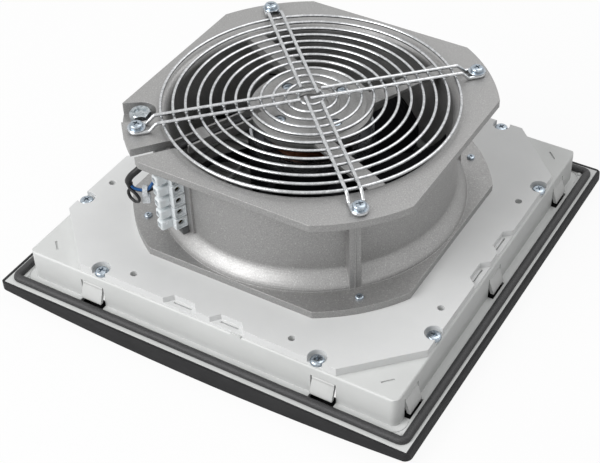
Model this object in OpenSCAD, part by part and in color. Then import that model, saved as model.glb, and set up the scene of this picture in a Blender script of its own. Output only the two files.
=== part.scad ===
// Enclosure filter fan: a louvred cover, a snap-in frame with a seal and an axial fan behind a wire guard.
// The unit lies face down, as it is set on a bench: the arched face is at the bottom, the fan on top.
// Millimetres, +Z up (into the cabinet), origin in the middle of the crown of the cover's face.

/* [Cover] */
// Outer size of the square cover
cover_w = 323; // [318:1:330]
// Depth from the rim plane down to the crown of the arched face
cover_depth = 14; // [12:0.5:18]
// Depth of the rim at the two arched sides
cover_side_depth = 6; // [5:0.5:8]
// Outward flare of the two arched sides below the rim
cover_flare = 1; // [0.5:0.25:2]
// Wall thickness of the cover's rim
rim_t = 1.9; // [1.6:0.1:2.4]
// Thickness of the cover's face
face_t = 2.4; // [2:0.1:2.8]
// Number of louvre slats
slat_count = 20; // [14:1:24]
// Thickness of a slat
slat_t = 2.2; // [1.8:0.1:2.6]
// Height that a slat rises behind the face
slat_rise = 8.4; // [7:0.2:9]

/* [Frame] */
// How far the cover reaches past the body on every side
edge_reach = 16.8; // [15.7:0.1:19]
// Height of the body over the flange plane
body_h = 23.9; // [22:0.1:28]
// Wall thickness of the body
wall_t = 2.6; // [2.2:0.1:3]
// Thickness of the frame's flange
frame_flange_t = 3; // [2.6:0.1:3.2]
// Radius of the body's upright corners
body_r = 5; // [3:0.5:8]
// Height of the raised carrier plate over the deck
plate_h = 6.3; // [6:0.1:8]
// Thickness of the carrier plate's skin
plate_t = 2.6; // [2:0.1:3]

/* [Snap tongues] */
// Width of a snap tongue
tongue_w = 16.5; // [14:0.5:18]
// Height of the window that a tongue fills
window_h = 16.4; // [15:0.2:18]
// How far a tongue's lip stands out of the wall
tongue_lift = 3.6; // [3:0.1:3.8]
// Thickness of a tongue
tongue_t = 2.2; // [1.8:0.1:2.4]

/* [Seal] */
// Width of the foam bead
seal_w = 6; // [5:0.5:7]
// Height of the foam bead
seal_h = 4; // [3.5:0.5:5]
// Strip of flange that shows between the bead and the rim on the plain sides
seal_margin = 3.1; // [2.5:0.1:4]
// The same strip on the two arched sides
seal_margin_side = 2; // [1.5:0.1:3]

/* [Filter] */
// Thickness of the filter mat
mat_t = 16; // [12:0.5:17]
// Free space between the mat and the wall
mat_space = 6.6; // [6.4:0.2:9]

/* [Fan housing] */
// Corner radius of the fan's flanges as a share of half the cover
fan_share = 0.8; // [0.78:0.005:0.81]
// How far the flats of the flanges are cut in from the corner arcs
flat_cut = 17.2; // [15:0.2:20]
// Height of the fan housing
fan_h = 80; // [76:1:88]
// Thickness of the two flanges
flange_t = 5.6; // [5:0.1:6.5]
// Width of a flange from its corner arcs to the air passage
land_w = 31.7; // [30:0.1:35]
// Wall thickness of the barrel
barrel_t = 4.5; // [4:0.1:5]
// Rounding of the inlet and outlet lips
lip_r = 7; // [5:0.5:8]
// Distance of the flange screws from the corner arcs
screw_edge = 9.3; // [8.5:0.1:11]
// Width of the corner ribs
rib_w = 8; // [6:0.5:10]

/* [Struts and hub] */
// Radius of the hub plate
hub_r = 42.6; // [41:0.2:44]
// Thickness of the hub plate
hub_t = 4.6; // [4:0.1:5.4]
// Width of a strut
strut_w = 12; // [10:0.5:13]
// How far each strut's line passes the centre
strut_offset = 17.5; // [15:0.5:19]
// Direction of the first strut
strut_angle = -24; // [-28:1:-20]

/* [Motor and impeller] */
// Outer radius of the rotor can
rotor_r = 43.5; // [42:0.5:45]
// Length of the rotor can
rotor_h = 54; // [52:1:56]
// Width of the rotor's laminated ring
core_ring_w = 8.2; // [7.6:0.1:9]
// Radius of the shaft
shaft_r = 4; // [3.5:0.1:4.2]
// Number of blades
blade_count = 7; // [5:1:9]
// Gap between the blade tips and the bore
tip_gap = 2.2; // [1.5:0.1:4]
// Thickness of a blade
blade_t = 1.6; // [1.2:0.1:2]

/* [Finger guard] */
// Number of guard rings
ring_count = 12; // [10:1:13]
// Distance between rings
ring_pitch = 8.5; // [8:0.1:8.6]
// Wire thickness of the rings
ring_wire = 2.2; // [1.8:0.1:2.4]
// Wire thickness of the four holding arms
arm_wire = 2.6; // [2.2:0.1:2.8]
// Height of the ring wires over the flange
guard_rise = 4.2; // [4:0.1:5]

/* [Terminals] */
// Number of poles
pole_count = 5; // [3:1:5]
// Distance between poles
pole_pitch = 9.6; // [8.8:0.1:9.9]
// Length of a pole along the wire
pole_len = 18; // [16:0.5:19]

/* [Wiring] */
// Outer diameter of the lead's sheath
sheath_d = 4.6; // [4:0.2:4.8]
// Diameter of one insulated conductor
wire_d = 2.2; // [1.8:0.1:2.4]

/* [Hidden] */
$fn = 64;
fine = 128;
eps = 0.1;
// Overrun of every cut past the face that it opens
over = 1;
// Clearance between pieces that move against each other
run_gap = 0.35;
// Clearance between pieces that are pushed into each other
fit_gap = 0.05;

// Levels
rim_z = cover_depth;
deck_z = rim_z + body_h;
plate_z = deck_z + plate_h;
fan_z = plate_z;
fan_top = fan_z + fan_h;
top_flange_z = fan_top - flange_t;

// Cover
rim_half = cover_w / 2;
side_half = rim_half + cover_flare;
arch_sag = cover_depth - cover_side_depth;
arch_r = (side_half * side_half + arch_sag * arch_sag) / (2 * arch_sag);
arch_fn = 720;
cover_corner_r = 5;
flange_half = rim_half - rim_t - run_gap;
cover_in_half = rim_half - rim_t;
body_half = rim_half - edge_reach;
body_w = 2 * body_half;
body_in = body_half - wall_t;
corner_r = fan_share * rim_half;
bore_r = corner_r - land_w;
grille_margin = 8;
grille_half = body_in - grille_margin;
slat_pitch = 2 * grille_half / slat_count;
slat_reach_share = 0.68;
slat_bite = 1;
slat_sink = 0.4;
mat_half = body_in - mat_space;
slat_inset = 0.4;
mat_corner_r = 3;
cover_rib_t = 2;
cover_rib_share = 0.5;
cover_rib_lift = 4;
finger_w = 14;
finger_t = 2;
finger_h = 12.5;
finger_share = 0.31;
finger_gap = 1.9;
finger_bead_r = 1.1;
finger_bead_drop = 3;

// Frame
deck_t = 2.5;
deck_bore_margin = 3.5;
deck_bore = bore_r + deck_bore_margin;
grid_count = 5;
grid_bar = 2;
grid_drop = 1.4;
grid_bite = 1;
mat_top = deck_z - deck_t - grid_drop - run_gap;
mat_z = mat_top - mat_t;
slot_mark_l = 9;
slot_mark_w = 1.4;
slot_mark_h = 1;
slot_mark_share = 0.906;
body_edge_r = 1.5;
corner_groove_r = 9.6;
corner_groove_w = 0.8;
corner_groove_h = 0.4;
corner_groove_turn = 134;
corner_bump_r = 1.4;
corner_bump_h = 0.7;
corner_bump_set = 9;
wall_lug_share = 0.15;
wall_lug_w = 8;
wall_lug_t = 1.1;
wall_lug_h = 0.8;
window_side = 1.15;
window_w = tongue_w + 2 * window_side;
window_reach = 4;
pair_share = 0.632;
side_low_share = -0.86;
side_mid_share = 0.0035;
side_high_share = 0.7775;
tongue_foot = 3;
tongue_top_gap = 0.45;
tongue_root_h = 2.4;
tongue_root_r = tongue_t / 2;
tongue_lip_h = 1;
tongue_lip_t = 2.4;
seal_turn = 4;
bead_steps = 8;
latch_sites = [
  [-pair_share, 0], [pair_share, 0],
  [side_low_share, 90], [side_mid_share, 90], [side_high_share, 90],
  [-pair_share, 180], [pair_share, 180],
  [side_low_share, 270], [side_mid_share, 270], [side_high_share, 270]];

// Carrier plate
plate_inset = 1.2;
plate_half = body_half - plate_inset;
plate_corner_share = 0.7;
plate_bore_gap = 1.5;
plate_bore = bore_r + lip_r + plate_bore_gap;
skirt_t = 2.4;
tab_t = 2;
notch_r = 6.5;
plate_screw_share = 0.587;
plate_screw_inset = 4.7;
plate_screw_u = plate_screw_share * body_half;
plate_screw_v = body_half - plate_screw_inset;
plate_hole_share = 0.4305;
plate_hole_inset = 11;
plate_hole_u = plate_hole_share * body_half;
plate_hole_v = body_half - plate_hole_inset;
plate_hole_r = 2.5;
bite_near_share = 0.0366;
bite_far_share = 0.219;
bite_near = bite_near_share * body_half;
bite_far = bite_far_share * body_half;
bite_depth = 6;
bite_slope = 5.2;
bite_slit_w = 1.2;
bite_slit_side = 1;
bite_slit_share = 0.5;
foot_boss_r = 6.8;
foot_boss_floor = 1;
head_r = 4.9;
head_h = 2.9;
shank_r = 2.1;
pilot_gap = 0.05;
plate_screw_l = 8.2;
boss_r = 4;
boss_h = 4.5;
// Outline of a pan head from its edge to its crown, and its cross recess
pan_shares = [[1, 0.45], [0.93, 0.72], [0.75, 0.92], [0.5, 1], [0, 1]];
cross_share = 1.1;
cross_width_share = 0.22;
cross_floor_share = 0.4;

// Housing
barrel_r = bore_r + barrel_t;
fan_w = 2 * (corner_r - flat_cut);
screw_half = (corner_r - screw_edge) / sqrt(2);
flare_out = 6;
flare_r = bore_r + lip_r + flare_out;
flare_h = 14;
flare_steps = 10;
lip_steps = 8;
lip_wall = 2;
flange_hole_r = 2.5;
flange_shank_r = 1.9;
flange_head_r = 2.9;
flange_head_h = 1.8;
flange_screw_l = 4.2;
rib_out = flare_r;
rib_seam_w = 1;
rib_seam_h = 0.5;
slot_w = 9;
slot_angle = -129;
slot_shift = 10.2;
lead_gate_w = 14;
lead_gate_h = 10;
gate_in = 6;
gate_side = 2;
gate_l = lip_r + 16;
pocket_angle = -145.3;
pocket_r = 11;
pocket_share = 0.9;
pocket_c = pocket_share * corner_r;
pocket_depth = 9.6;
lug_t = 4;
lug_wall = 2;
strut_h = 6.5;
strut_drop = 3.2;
strut_plate_h = 2.6;
strut_web_t = 3;
strut_web_h = 4.6;
strut_root = 2;
strut_tip = 1.5;
bridge_share = 0.62;
bridge_l = 7;
bridge_t = 1.2;
hub_sink = 1.6;
hub_top = fan_top - hub_sink;
hub_z = hub_top - hub_t;
hub_step_w = 4.6;
hub_step_r = hub_r - hub_step_w;
hub_step_h = 1.2;
hub_eye_r = 12;
hub_eye_h = 1.4;
hub_ring_r = 20.5;
hub_ring_w = 1.2;
hub_ring_h = 0.6;
hub_screw_r = 27;
hub_gate_in = 6;
hub_gate_l = 20;
hub_screw_angle = 2;
hub_bore_r = 4.3;
hub_bore_h = 2.4;
strut_top = fan_top - strut_drop;
channel_wall = 1.5;

// Motor
motor_flange_step = 2.6;
motor_flange_r = hub_r - motor_flange_step;
motor_flange_t = 5;
motor_flange_z = hub_z - motor_flange_t;
tube_r = 13.4;
bearing_r = 11;
bearing_t = 7;
tube_step_r = 9;
rotor_head = 9;
rotor_top = motor_flange_z - rotor_head;
rotor_z = rotor_top - rotor_h;
can_t = 1.8;
can_floor_t = 2.5;
can_edge_r = 4;
can_edge_share = 0.3;
can_inner_edge = 2;
can_hub_r = 8;
can_hub_h = 5;
core_h = 30;
core_lift = 15;
core_z = rotor_z + core_lift;
air_gap = 0.5;
stator_r = rotor_r - can_t - core_ring_w - air_gap;
winding_in = tube_r + 4.6;
winding_out = stator_r - 4;
winding_h = 7;
slot_r = 2.4;
slot_bridge = 1.4;
slot_mouth = 1.6;
winding_round = 1;
stator_slots = 12;
bearing_lift = 3;
low_bearing_z = rotor_z + can_floor_t + can_hub_h + bearing_lift;
high_bearing_drop = 4;
high_bearing_z = motor_flange_z - high_bearing_drop;
tube_lip = 1;
tube_low_z = low_bearing_z - tube_lip;
race_t = 2;
race_sink = 0.5;
shaft_nose = 1.6;
shaft_top = high_bearing_z + bearing_t + shaft_nose;
clip_r = 6.2;
clip_t = 1.2;
clip_mouth = 3;
hub_screw_end = 0.5;
hub_shank_r = 2.4;
hub_head_r = 4;
hub_head_h = 2.2;

// Impeller
band_t = 1.4;
band_h = 38;
band_lift = 6;
band_z = rotor_z + band_lift;
root_sink = 0.4;
tip_r = bore_r - tip_gap;
root_r = rotor_r + band_t - root_sink;
blade_z = band_z + band_h / 2;
blade_rows = 10;
blade_cols = 6;
blade_sweep = 26;
root_chord = 40;
tip_chord = 44;
root_lift = 32;
tip_lift = 21;
camber = 3;

// Guard
ring_reach = 4.9;
ring_first = bore_r + ring_reach - (ring_count - 1) * ring_pitch;
ring_z = fan_top + guard_rise;
arm_z = ring_z + (ring_wire + arm_wire) / 2;
crank_room = 6.5;
crank_slope = 45;
arm_half = 4.8;
arm_bend_r = 3;
arm_low_z = fan_top + arm_wire / 2;
screw_ring = screw_half * sqrt(2);
guard_shank_r = flange_hole_r - fit_gap;
washer_r = 6.2;
washer_t = 1;
washer_hole_r = 2.65;
guard_head_r = 4.7;
guard_head_h = 3;
guard_screw_end = 1;
arm_end_shares = [[-0.27, 1.83], [0.56, 2.19], [-0.38, 1.71], [-0.25, 1.77]];

// Earth screw
ground_floor = fan_top - pocket_depth;
ground_shank_r = 3;
ground_tail = 2;
ground_across = 13;
ground_head_h = 5.2;
head_proud = 0.4;
ground_bevel = 0.8;
ground_dish_r = 4.2;
ground_dish_h = 1.2;
ground_washer_r = 7;
ground_washer_t = 1.2;
nut_across = 10;
nut_h = 2.4;

// Terminals
pad_out = 1.6;
block_y = barrel_r + pad_out;
pole_gap = 0.6;
pole_h = pole_pitch - pole_gap;
block_d = 9.6;
tower_d = 8.4;
tower_w = 7;
tower_set = 4;
tower_h = 7.6;
tower_r = 1.4;
block_shift = -pole_len / 2;
block_drop = 4.7;
block_z = top_flange_z - block_drop - pole_count * pole_pitch;
tower_x = pole_len / 2 - tower_set - tower_w / 2;
pad_left = 1;
pad_right = 5.8;
pad_low = 3.2;
pad_z = block_z - pad_low;
pad_root_share = 0.96;
entry_r = 1.9;
cage_r = 2.9;
cage_inset = 1.5;
cage_end = 3;
tscrew_r = 1.6;
tscrew_head_r = 2.1;
tscrew_gap = 0.2;
tscrew_l = 4;
tscrew_head_h = 2.4;
tscrew_foot = 1.4;
tscrew_slot_w = 0.7;
tscrew_slot_h = 1.2;
mouth_depth = 1.3;
mouth_wall = 1;
mouth_slot_l = 4;
mouth_slot_h = 2;
web_t = 3;
web_inset = 3;
end_w = 5.6;
end_d = 5;
end_h = 5.8;
end_round = 1.2;

// Wiring
lead_rise = 0.15;
lead_back = 1;
lead_z = strut_top - strut_h + channel_wall + sheath_d / 2 + lead_rise;
lead_start = sqrt(pow(motor_flange_r, 2) - pow(strut_offset - strut_w / 2, 2)) + lead_back;
// Places along the wires in shares of the flange's corner radius and of the fan's height over its foot
lead_shares = [[-0.4257, -0.6238, 0.9275], [-0.4481, -0.6687, 0.9125], [-0.4884, -0.6974, 0.890],
  [-0.5240, -0.7160, 0.8725], [-0.5440, -0.7625, 0.841], [-0.5665, -0.7990, 0.7975], [-0.5950, -0.8205, 0.745],
  [-0.6180, -0.8200, 0.680], [-0.6190, -0.8120, 0.636]];
blue_shares = [[-0.6070, -0.8140, 0.631], [-0.5960, -0.8080, 0.600], [-0.5660, -0.7950, 0.583],
  [-0.5340, -0.7740, 0.590], [-0.5230, -0.7452, 0.625], [-0.5070, -0.7136, 0.668]];
black_shares = [[-0.6270, -0.8150, 0.621], [-0.6084, -0.8220, 0.5925], [-0.5759, -0.8243, 0.5675],
  [-0.5604, -0.8212, 0.5225], [-0.5735, -0.8158, 0.475], [-0.6037, -0.8096, 0.455], [-0.6339, -0.8042, 0.475],
  [-0.6455, -0.7988, 0.5225], [-0.6262, -0.7941, 0.560], [-0.5921, -0.7887, 0.559], [-0.5460, -0.7700, 0.556],
  [-0.5230, -0.7452, 0.5675], [-0.5070, -0.7136, 0.5713]];
blue_row = 3;
black_row = 2;
wire_in = 3;
tie_share = [-0.5480, -0.7780, 0.5675];
tie_turn = 30;
tie_r = 4.1;
tie_t = 0.9;
tie_w = 3.4;
tie_head_w = 5.6;
tie_head_d = 4.6;
tie_head_h = 6.4;
tie_head_gap = 0.2;

module rounded_rect(w, h, r) {
  square([w - 2 * r, h], center = true);
  square([w, h - 2 * r], center = true);
  for (x = [-1, 1], y = [-1, 1]) {
    translate([x * (w / 2 - r), y * (h / 2 - r)]) circle(r = r);
  }
}

function arch_z(x) = arch_r - sqrt(arch_r * arch_r - x * x);

// Half-plane over the arched face, moved inwards by lift
module over_arch(lift) {
  translate([0, arch_r + lift]) circle(r = arch_r, $fn = arch_fn);
}

module along_y(length) {
  rotate([90, 0, 0]) linear_extrude(height = length, center = true) children();
}

// Louvred front cover

module cover_shell() {
  spread = cover_flare * cover_depth / cover_side_depth;
  difference() {
    intersection() {
      along_y(cover_w) intersection() {
        over_arch(0);
        polygon([[-rim_half, rim_z], [rim_half, rim_z],
          [rim_half + spread, 0], [rim_half + spread, -eps],
          [-rim_half - spread, -eps], [-rim_half - spread, 0]]);
      }
      translate([0, 0, -over]) linear_extrude(height = rim_z + 2 * over)
        rounded_rect(2 * side_half, cover_w, cover_corner_r);
    }
    along_y(2 * cover_in_half) intersection() {
      over_arch(face_t);
      translate([-cover_in_half, 0]) square([2 * cover_in_half, 2 * rim_z]);
    }
    translate([-grille_half, -grille_half, -over])
      cube([2 * grille_half, 2 * grille_half, rim_z + 2 * over]);
  }
}

module slat() {
  reach = slat_pitch * slat_reach_share;
  along_y(2 * (grille_half + slat_bite))
    polygon([[0, 0], [slat_t, 0], [slat_t + reach, slat_rise], [reach, slat_rise]]);
}

// Upright rib across the slats that carries the mat
module cover_rib() {
  rotate([90, 0, 0]) linear_extrude(height = cover_rib_t, center = true) intersection() {
    over_arch(cover_rib_lift);
    translate([-grille_half - slat_bite, 0]) square([2 * (grille_half + slat_bite), mat_z - run_gap]);
  }
}

// Springy finger that holds the cover inside the frame's wall
module cover_finger() {
  foot = face_t / 2;
  translate([-finger_w / 2, -finger_t / 2, foot]) cube([finger_w, finger_t, rim_z + finger_h - foot]);
  translate([-finger_w / 2, -finger_t / 2, rim_z + finger_h - finger_bead_drop]) rotate([0, 90, 0])
    cylinder(r = finger_bead_r, h = finger_w, $fn = 24);
}

module front_cover() {
  finger_v = body_in - finger_gap - finger_bead_r;
  color("#3a3b3b") {
    cover_shell();
    for (i = [0 : slat_count - 1]) {
      x = -grille_half + i * slat_pitch + slat_inset;
      translate([x, 0, arch_z(x) + slat_sink]) slat();
    }
    for (y = [-1, 0, 1]) translate([0, y * cover_rib_share * grille_half, 0]) cover_rib();
    for (s = [-1, 1], y = [0, 180]) rotate([0, 0, y])
      translate([s * finger_share * body_half, -finger_v, 0]) cover_finger();
  }
}

// Filter mat

module filter_mat() {
  color("#e8e8e2") translate([0, 0, mat_z]) linear_extrude(height = mat_t)
    rounded_rect(2 * mat_half, 2 * mat_half, mat_corner_r);
}

// Frame that snaps into the panel

module latch_site(i) {
  rotate([0, 0, latch_sites[i][1]])
    translate([latch_sites[i][0] * body_half, -body_half, rim_z]) children();
}

module plate_sites(u, v) {
  for (side = [0 : 90 : 270], s = [-1, 1]) rotate([0, 0, side]) translate([s * u, -v, 0]) children();
}

module support_grid() {
  step = 2 * deck_bore / (grid_count + 1);
  intersection() {
    union() {
      for (i = [1 : grid_count], turn = [0, 90]) rotate([0, 0, turn])
        translate([-deck_bore + i * step - grid_bar / 2, -deck_bore - grid_bite, deck_z - deck_t - grid_drop])
          cube([grid_bar, 2 * (deck_bore + grid_bite), deck_t + grid_drop]);
    }
    cylinder(r = deck_bore + grid_bite, h = deck_z, $fn = fine);
  }
}

// Section of the body with its two upper edges rounded
module body_section(foot_z) {
  width = body_w - 2 * body_edge_r;
  translate([-body_half, foot_z]) square([body_w, deck_z - body_edge_r - foot_z]);
  translate([-width / 2, foot_z]) square([width, deck_z - foot_z]);
  for (s = [-1, 1]) translate([s * width / 2, deck_z - body_edge_r]) circle(r = body_edge_r, $fn = 32);
}

module body_block(foot_z) {
  intersection() {
    translate([0, 0, foot_z]) linear_extrude(height = body_h + frame_flange_t + over)
      rounded_rect(body_w, body_w, body_r);
    along_y(body_w + 2 * over) body_section(foot_z);
    rotate([0, 0, 90]) along_y(body_w + 2 * over) body_section(foot_z);
  }
}

// Fine arc groove and a round bump on the flange outside each corner of the body
module flange_corner_marks(groove) {
  middle = body_half - body_r;
  for (turn = [0 : 90 : 270]) rotate([0, 0, turn]) translate([middle, -middle, rim_z]) {
    if (groove) rotate([0, 0, -45 - corner_groove_turn / 2]) rotate_extrude(angle = corner_groove_turn)
      translate([corner_groove_r, -corner_groove_h]) square([corner_groove_w, corner_groove_h + over]);
    else translate([corner_bump_set, -corner_bump_set, -corner_bump_h])
      cylinder(r = corner_bump_r, h = 2 * corner_bump_h, $fn = 24);
  }
}

module base_frame() {
  foot_z = rim_z - frame_flange_t;
  mark = slot_mark_share * body_half;
  color("#cfd0ce") {
    difference() {
      union() {
        translate([-flange_half, -flange_half, foot_z])
          cube([2 * flange_half, 2 * flange_half, frame_flange_t]);
        body_block(foot_z);
        flange_corner_marks(false);
        translate([wall_lug_share * body_half, -body_half, deck_z - body_edge_r])
          cube([wall_lug_w, wall_lug_t, body_edge_r + wall_lug_h]);
      }
      difference() {
        translate([0, 0, foot_z - over]) linear_extrude(height = deck_z - deck_t - foot_z + over)
          rounded_rect(2 * body_in, 2 * body_in, body_r - wall_t);
        plate_sites(plate_screw_u, plate_screw_v) translate([0, 0, deck_z - deck_t - boss_h])
          cylinder(r = boss_r, h = boss_h + over, $fn = 32);
      }
      translate([0, 0, foot_z]) cylinder(r = deck_bore, h = body_h + frame_flange_t + over, $fn = fine);
      for (i = [0 : len(latch_sites) - 1]) latch_site(i)
        translate([-window_w / 2, -window_reach, -frame_flange_t - over])
          cube([window_w, window_reach + wall_t + over, frame_flange_t + over + window_h]);
      plate_sites(plate_screw_u, plate_screw_v) translate([0, 0, deck_z - deck_t - boss_h - over])
        cylinder(r = shank_r + pilot_gap, h = deck_t + boss_h + 2 * over, $fn = 24);
      for (turn = [0 : 90 : 270]) rotate([0, 0, turn]) translate([mark, -mark, deck_z - slot_mark_h])
        rotate([0, 0, 45]) translate([-slot_mark_l / 2, -slot_mark_w / 2, 0])
          cube([slot_mark_l, slot_mark_w, slot_mark_h + over]);
      flange_corner_marks(true);
    }
    support_grid();
  }
}

// Snap tongue, bent outwards below its root, in a window of the wall
module latch(i) {
  root = window_h - tongue_top_gap;
  color("#d2d3d1") latch_site(i) rotate([90, 0, 90]) linear_extrude(height = tongue_w, center = true) {
    translate([tongue_t / 2, root - tongue_root_r]) circle(r = tongue_root_r, $fn = 32);
    polygon([[tongue_t, root - tongue_root_r], [0, root - tongue_root_r], [0, root - tongue_root_h],
      [-tongue_lift, tongue_foot + tongue_lip_h], [-tongue_lift, tongue_foot],
      [-tongue_lift + tongue_lip_t, tongue_foot], [tongue_t, root - tongue_root_h - tongue_t / 2]]);
  }
}

// Foam bead, half round on top, run round the flange
module seal() {
  along_x = flange_half - seal_margin_side - seal_w / 2;
  along_yy = flange_half - seal_margin - seal_w / 2;
  sx = along_x - seal_turn;
  sy = along_yy - seal_turn;
  color("#4a4b4b") translate([0, 0, rim_z]) for (s = [0, 180]) rotate([0, 0, s]) {
    translate([-sx, -along_yy, 0]) rotate([90, 0, 90]) linear_extrude(height = 2 * sx) bead();
    translate([along_x, sy, 0]) rotate([90, 0, 0]) linear_extrude(height = 2 * sy) bead();
    translate([sx, -sy, 0]) rotate([0, 0, -90]) rotate_extrude(angle = 90) translate([seal_turn, 0]) bead();
    translate([sx, sy, 0]) rotate_extrude(angle = 90) translate([seal_turn, 0]) bead();
  }
}

// Section of the bead: a square foot under a round top
module bead() {
  top_r = seal_w / 2;
  foot = seal_h - top_r;
  polygon(concat([[-top_r, 0], [top_r, 0]],
    [for (i = [0 : bead_steps]) let (a = 180 * i / bead_steps) [top_r * cos(a), foot + top_r * sin(a)]]));
}

// Carrier plate

module octagon(half, corner) {
  polygon([[-corner, -half], [corner, -half], [half, -corner], [half, corner],
    [corner, half], [-corner, half], [-half, corner], [-half, -corner]]);
}

module edge_bites(grow) {
  for (side = [0 : 90 : 270], s = [0, 1]) rotate([0, 0, side]) translate([0, -plate_half]) mirror([s, 0])
    polygon([[bite_near - grow, -over], [bite_near - grow, 0], [bite_near + bite_slope - grow, bite_depth + grow],
      [bite_far - bite_slope + grow, bite_depth + grow], [bite_far + grow, 0], [bite_far + grow, -over]]);
}

module carrier_plate() {
  plate_corner = plate_corner_share * plate_half;
  inner_corner = plate_corner - skirt_t * tan(22.5);
  slit_mid = (bite_near + bite_far) / 2;
  slit_l = bite_far - bite_near - 2 * (bite_slope + bite_slit_side);
  color("#d4d5d3") translate([0, 0, deck_z]) difference() {
    linear_extrude(height = plate_h) octagon(plate_half, plate_corner);
    translate([0, 0, -over]) linear_extrude(height = plate_h - plate_t + over) difference() {
      octagon(plate_half - skirt_t, inner_corner);
      circle(r = plate_bore + skirt_t, $fn = fine);
      plate_sites(plate_screw_u, plate_screw_v) circle(r = notch_r + skirt_t, $fn = 32);
      plate_sites(plate_hole_u, plate_hole_v) circle(r = plate_hole_r + skirt_t, $fn = 32);
      edge_bites(skirt_t);
      for (x = [-1, 1], y = [-1, 1]) translate([x * screw_half, y * screw_half]) circle(r = foot_boss_r, $fn = 32);
    }
    translate([0, 0, -over]) {
      cylinder(r = plate_bore, h = plate_h + 2 * over, $fn = fine);
      plate_sites(plate_screw_u, plate_screw_v) cylinder(r = shank_r + pilot_gap, h = tab_t + 2 * over, $fn = 24);
      plate_sites(plate_hole_u, plate_hole_v) cylinder(r = plate_hole_r, h = plate_h + 2 * over, $fn = 32);
      for (side = [0 : 90 : 270], s = [-1, 1]) rotate([0, 0, side])
        translate([s * slit_mid - slit_l / 2, -plate_half + bite_slit_share * bite_depth, 0])
          cube([slit_l, bite_slit_w, tab_t + 2 * over]);
    }
    translate([0, 0, tab_t]) plate_sites(plate_screw_u, plate_screw_v) cylinder(r = notch_r, h = plate_h);
    translate([0, 0, tab_t]) linear_extrude(height = plate_h) edge_bites(0);
    for (x = [-1, 1], y = [-1, 1]) translate([x * screw_half, y * screw_half, foot_boss_floor])
      cylinder(r = flange_shank_r + pilot_gap, h = plate_h, $fn = 24);
  }
}

// Pan head screw with a cross recess, its head seated at the origin, pointing down
module pan_screw(head_rad, head_high, shank_rad, length) {
  slot_l = cross_share * head_rad;
  slot_t = cross_width_share * head_rad;
  difference() {
    rotate_extrude($fn = 32) polygon(concat([[0, -length], [shank_rad, -length], [shank_rad, 0], [head_rad, 0]],
      [for (p = pan_shares) [p[0] * head_rad, p[1] * head_high]]));
    for (turn = [0, 90]) rotate([0, 0, turn]) translate([-slot_l / 2, -slot_t / 2, cross_floor_share * head_high])
      cube([slot_l, slot_t, head_high]);
  }
}

module plate_screws() {
  color("#c9ccce") translate([0, 0, deck_z + tab_t]) plate_sites(plate_screw_u, plate_screw_v)
    pan_screw(head_r, head_h, shank_r, plate_screw_l);
}

module flange_screws() {
  color("#b9bcbe") for (x = [-1, 1], y = [-1, 1])
    translate([x * screw_half, y * screw_half, fan_z + flange_t])
      pan_screw(flange_head_r, flange_head_h, flange_shank_r, flange_t + flange_screw_l);
}

// Fan housing, one die casting with its struts and hub plate

module flange_outline() {
  intersection() {
    square([fan_w, fan_w], center = true);
    circle(r = corner_r, $fn = fine);
  }
}

// Section of the barrel: rounded lips inside, a flared foot outside
module barrel_section() {
  rim_r = bore_r + lip_r + lip_wall;
  foot_top = fan_z + flange_t;
  outside = [for (i = [0 : flare_steps]) let (t = i / flare_steps)
    [flare_r - (flare_r - barrel_r) * (1 - cos(180 * t)) / 2, foot_top + flare_h * t]];
  upper_lip = [for (i = [0 : lip_steps]) let (a = 90 * i / lip_steps)
    [bore_r + lip_r - lip_r * sin(a), fan_top - lip_r + lip_r * cos(a)]];
  lower_lip = [for (i = [0 : lip_steps]) let (a = 90 * i / lip_steps)
    [bore_r + lip_r - lip_r * cos(a), fan_z + lip_r - lip_r * sin(a)]];
  polygon(concat([[flare_r, fan_z]], outside, [[barrel_r, top_flange_z], [rim_r, top_flange_z], [rim_r, fan_top]],
    upper_lip, lower_lip));
}

module corner_rib() {
  low = fan_z + flange_t - eps;
  high = fan_h - 2 * flange_t + 2 * eps;
  inner = bore_r + barrel_t / 2;
  translate([inner, -rib_w / 2, low]) cube([rib_out - inner, rib_w, high]);
  translate([rib_out - eps, -rib_seam_w / 2, low]) cube([rib_seam_h + eps, rib_seam_w, high]);
}

// Strut along +X at its offset: a flat bar on a web, or a channel for the lead under a short bridge
module strut(channel) {
  start = sqrt(pow(hub_r, 2) - pow(strut_offset + strut_w / 2, 2)) - strut_root;
  run = sqrt(pow(bore_r + strut_tip, 2) - pow(strut_offset, 2)) - start;
  translate([start, -strut_offset - strut_w / 2, strut_top]) {
    if (channel) {
      translate([0, 0, -strut_h]) cube([run, strut_w, channel_wall]);
      for (y = [0, strut_w - channel_wall]) translate([0, y, -strut_h]) cube([run, channel_wall, strut_h]);
      translate([bridge_share * run, 0, -eps]) cube([bridge_l, strut_w, bridge_t + eps]);
    } else {
      translate([0, 0, -strut_plate_h]) cube([run, strut_w, strut_plate_h]);
      translate([0, strut_w - strut_web_t, -strut_plate_h - strut_web_h])
        cube([run, strut_web_t, strut_web_h + eps]);
    }
  }
}

module hub_screw_sites() {
  for (k = [0 : 3]) rotate([0, 0, strut_angle + hub_screw_angle + 90 * k]) translate([hub_screw_r, 0, 0]) children();
}

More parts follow.
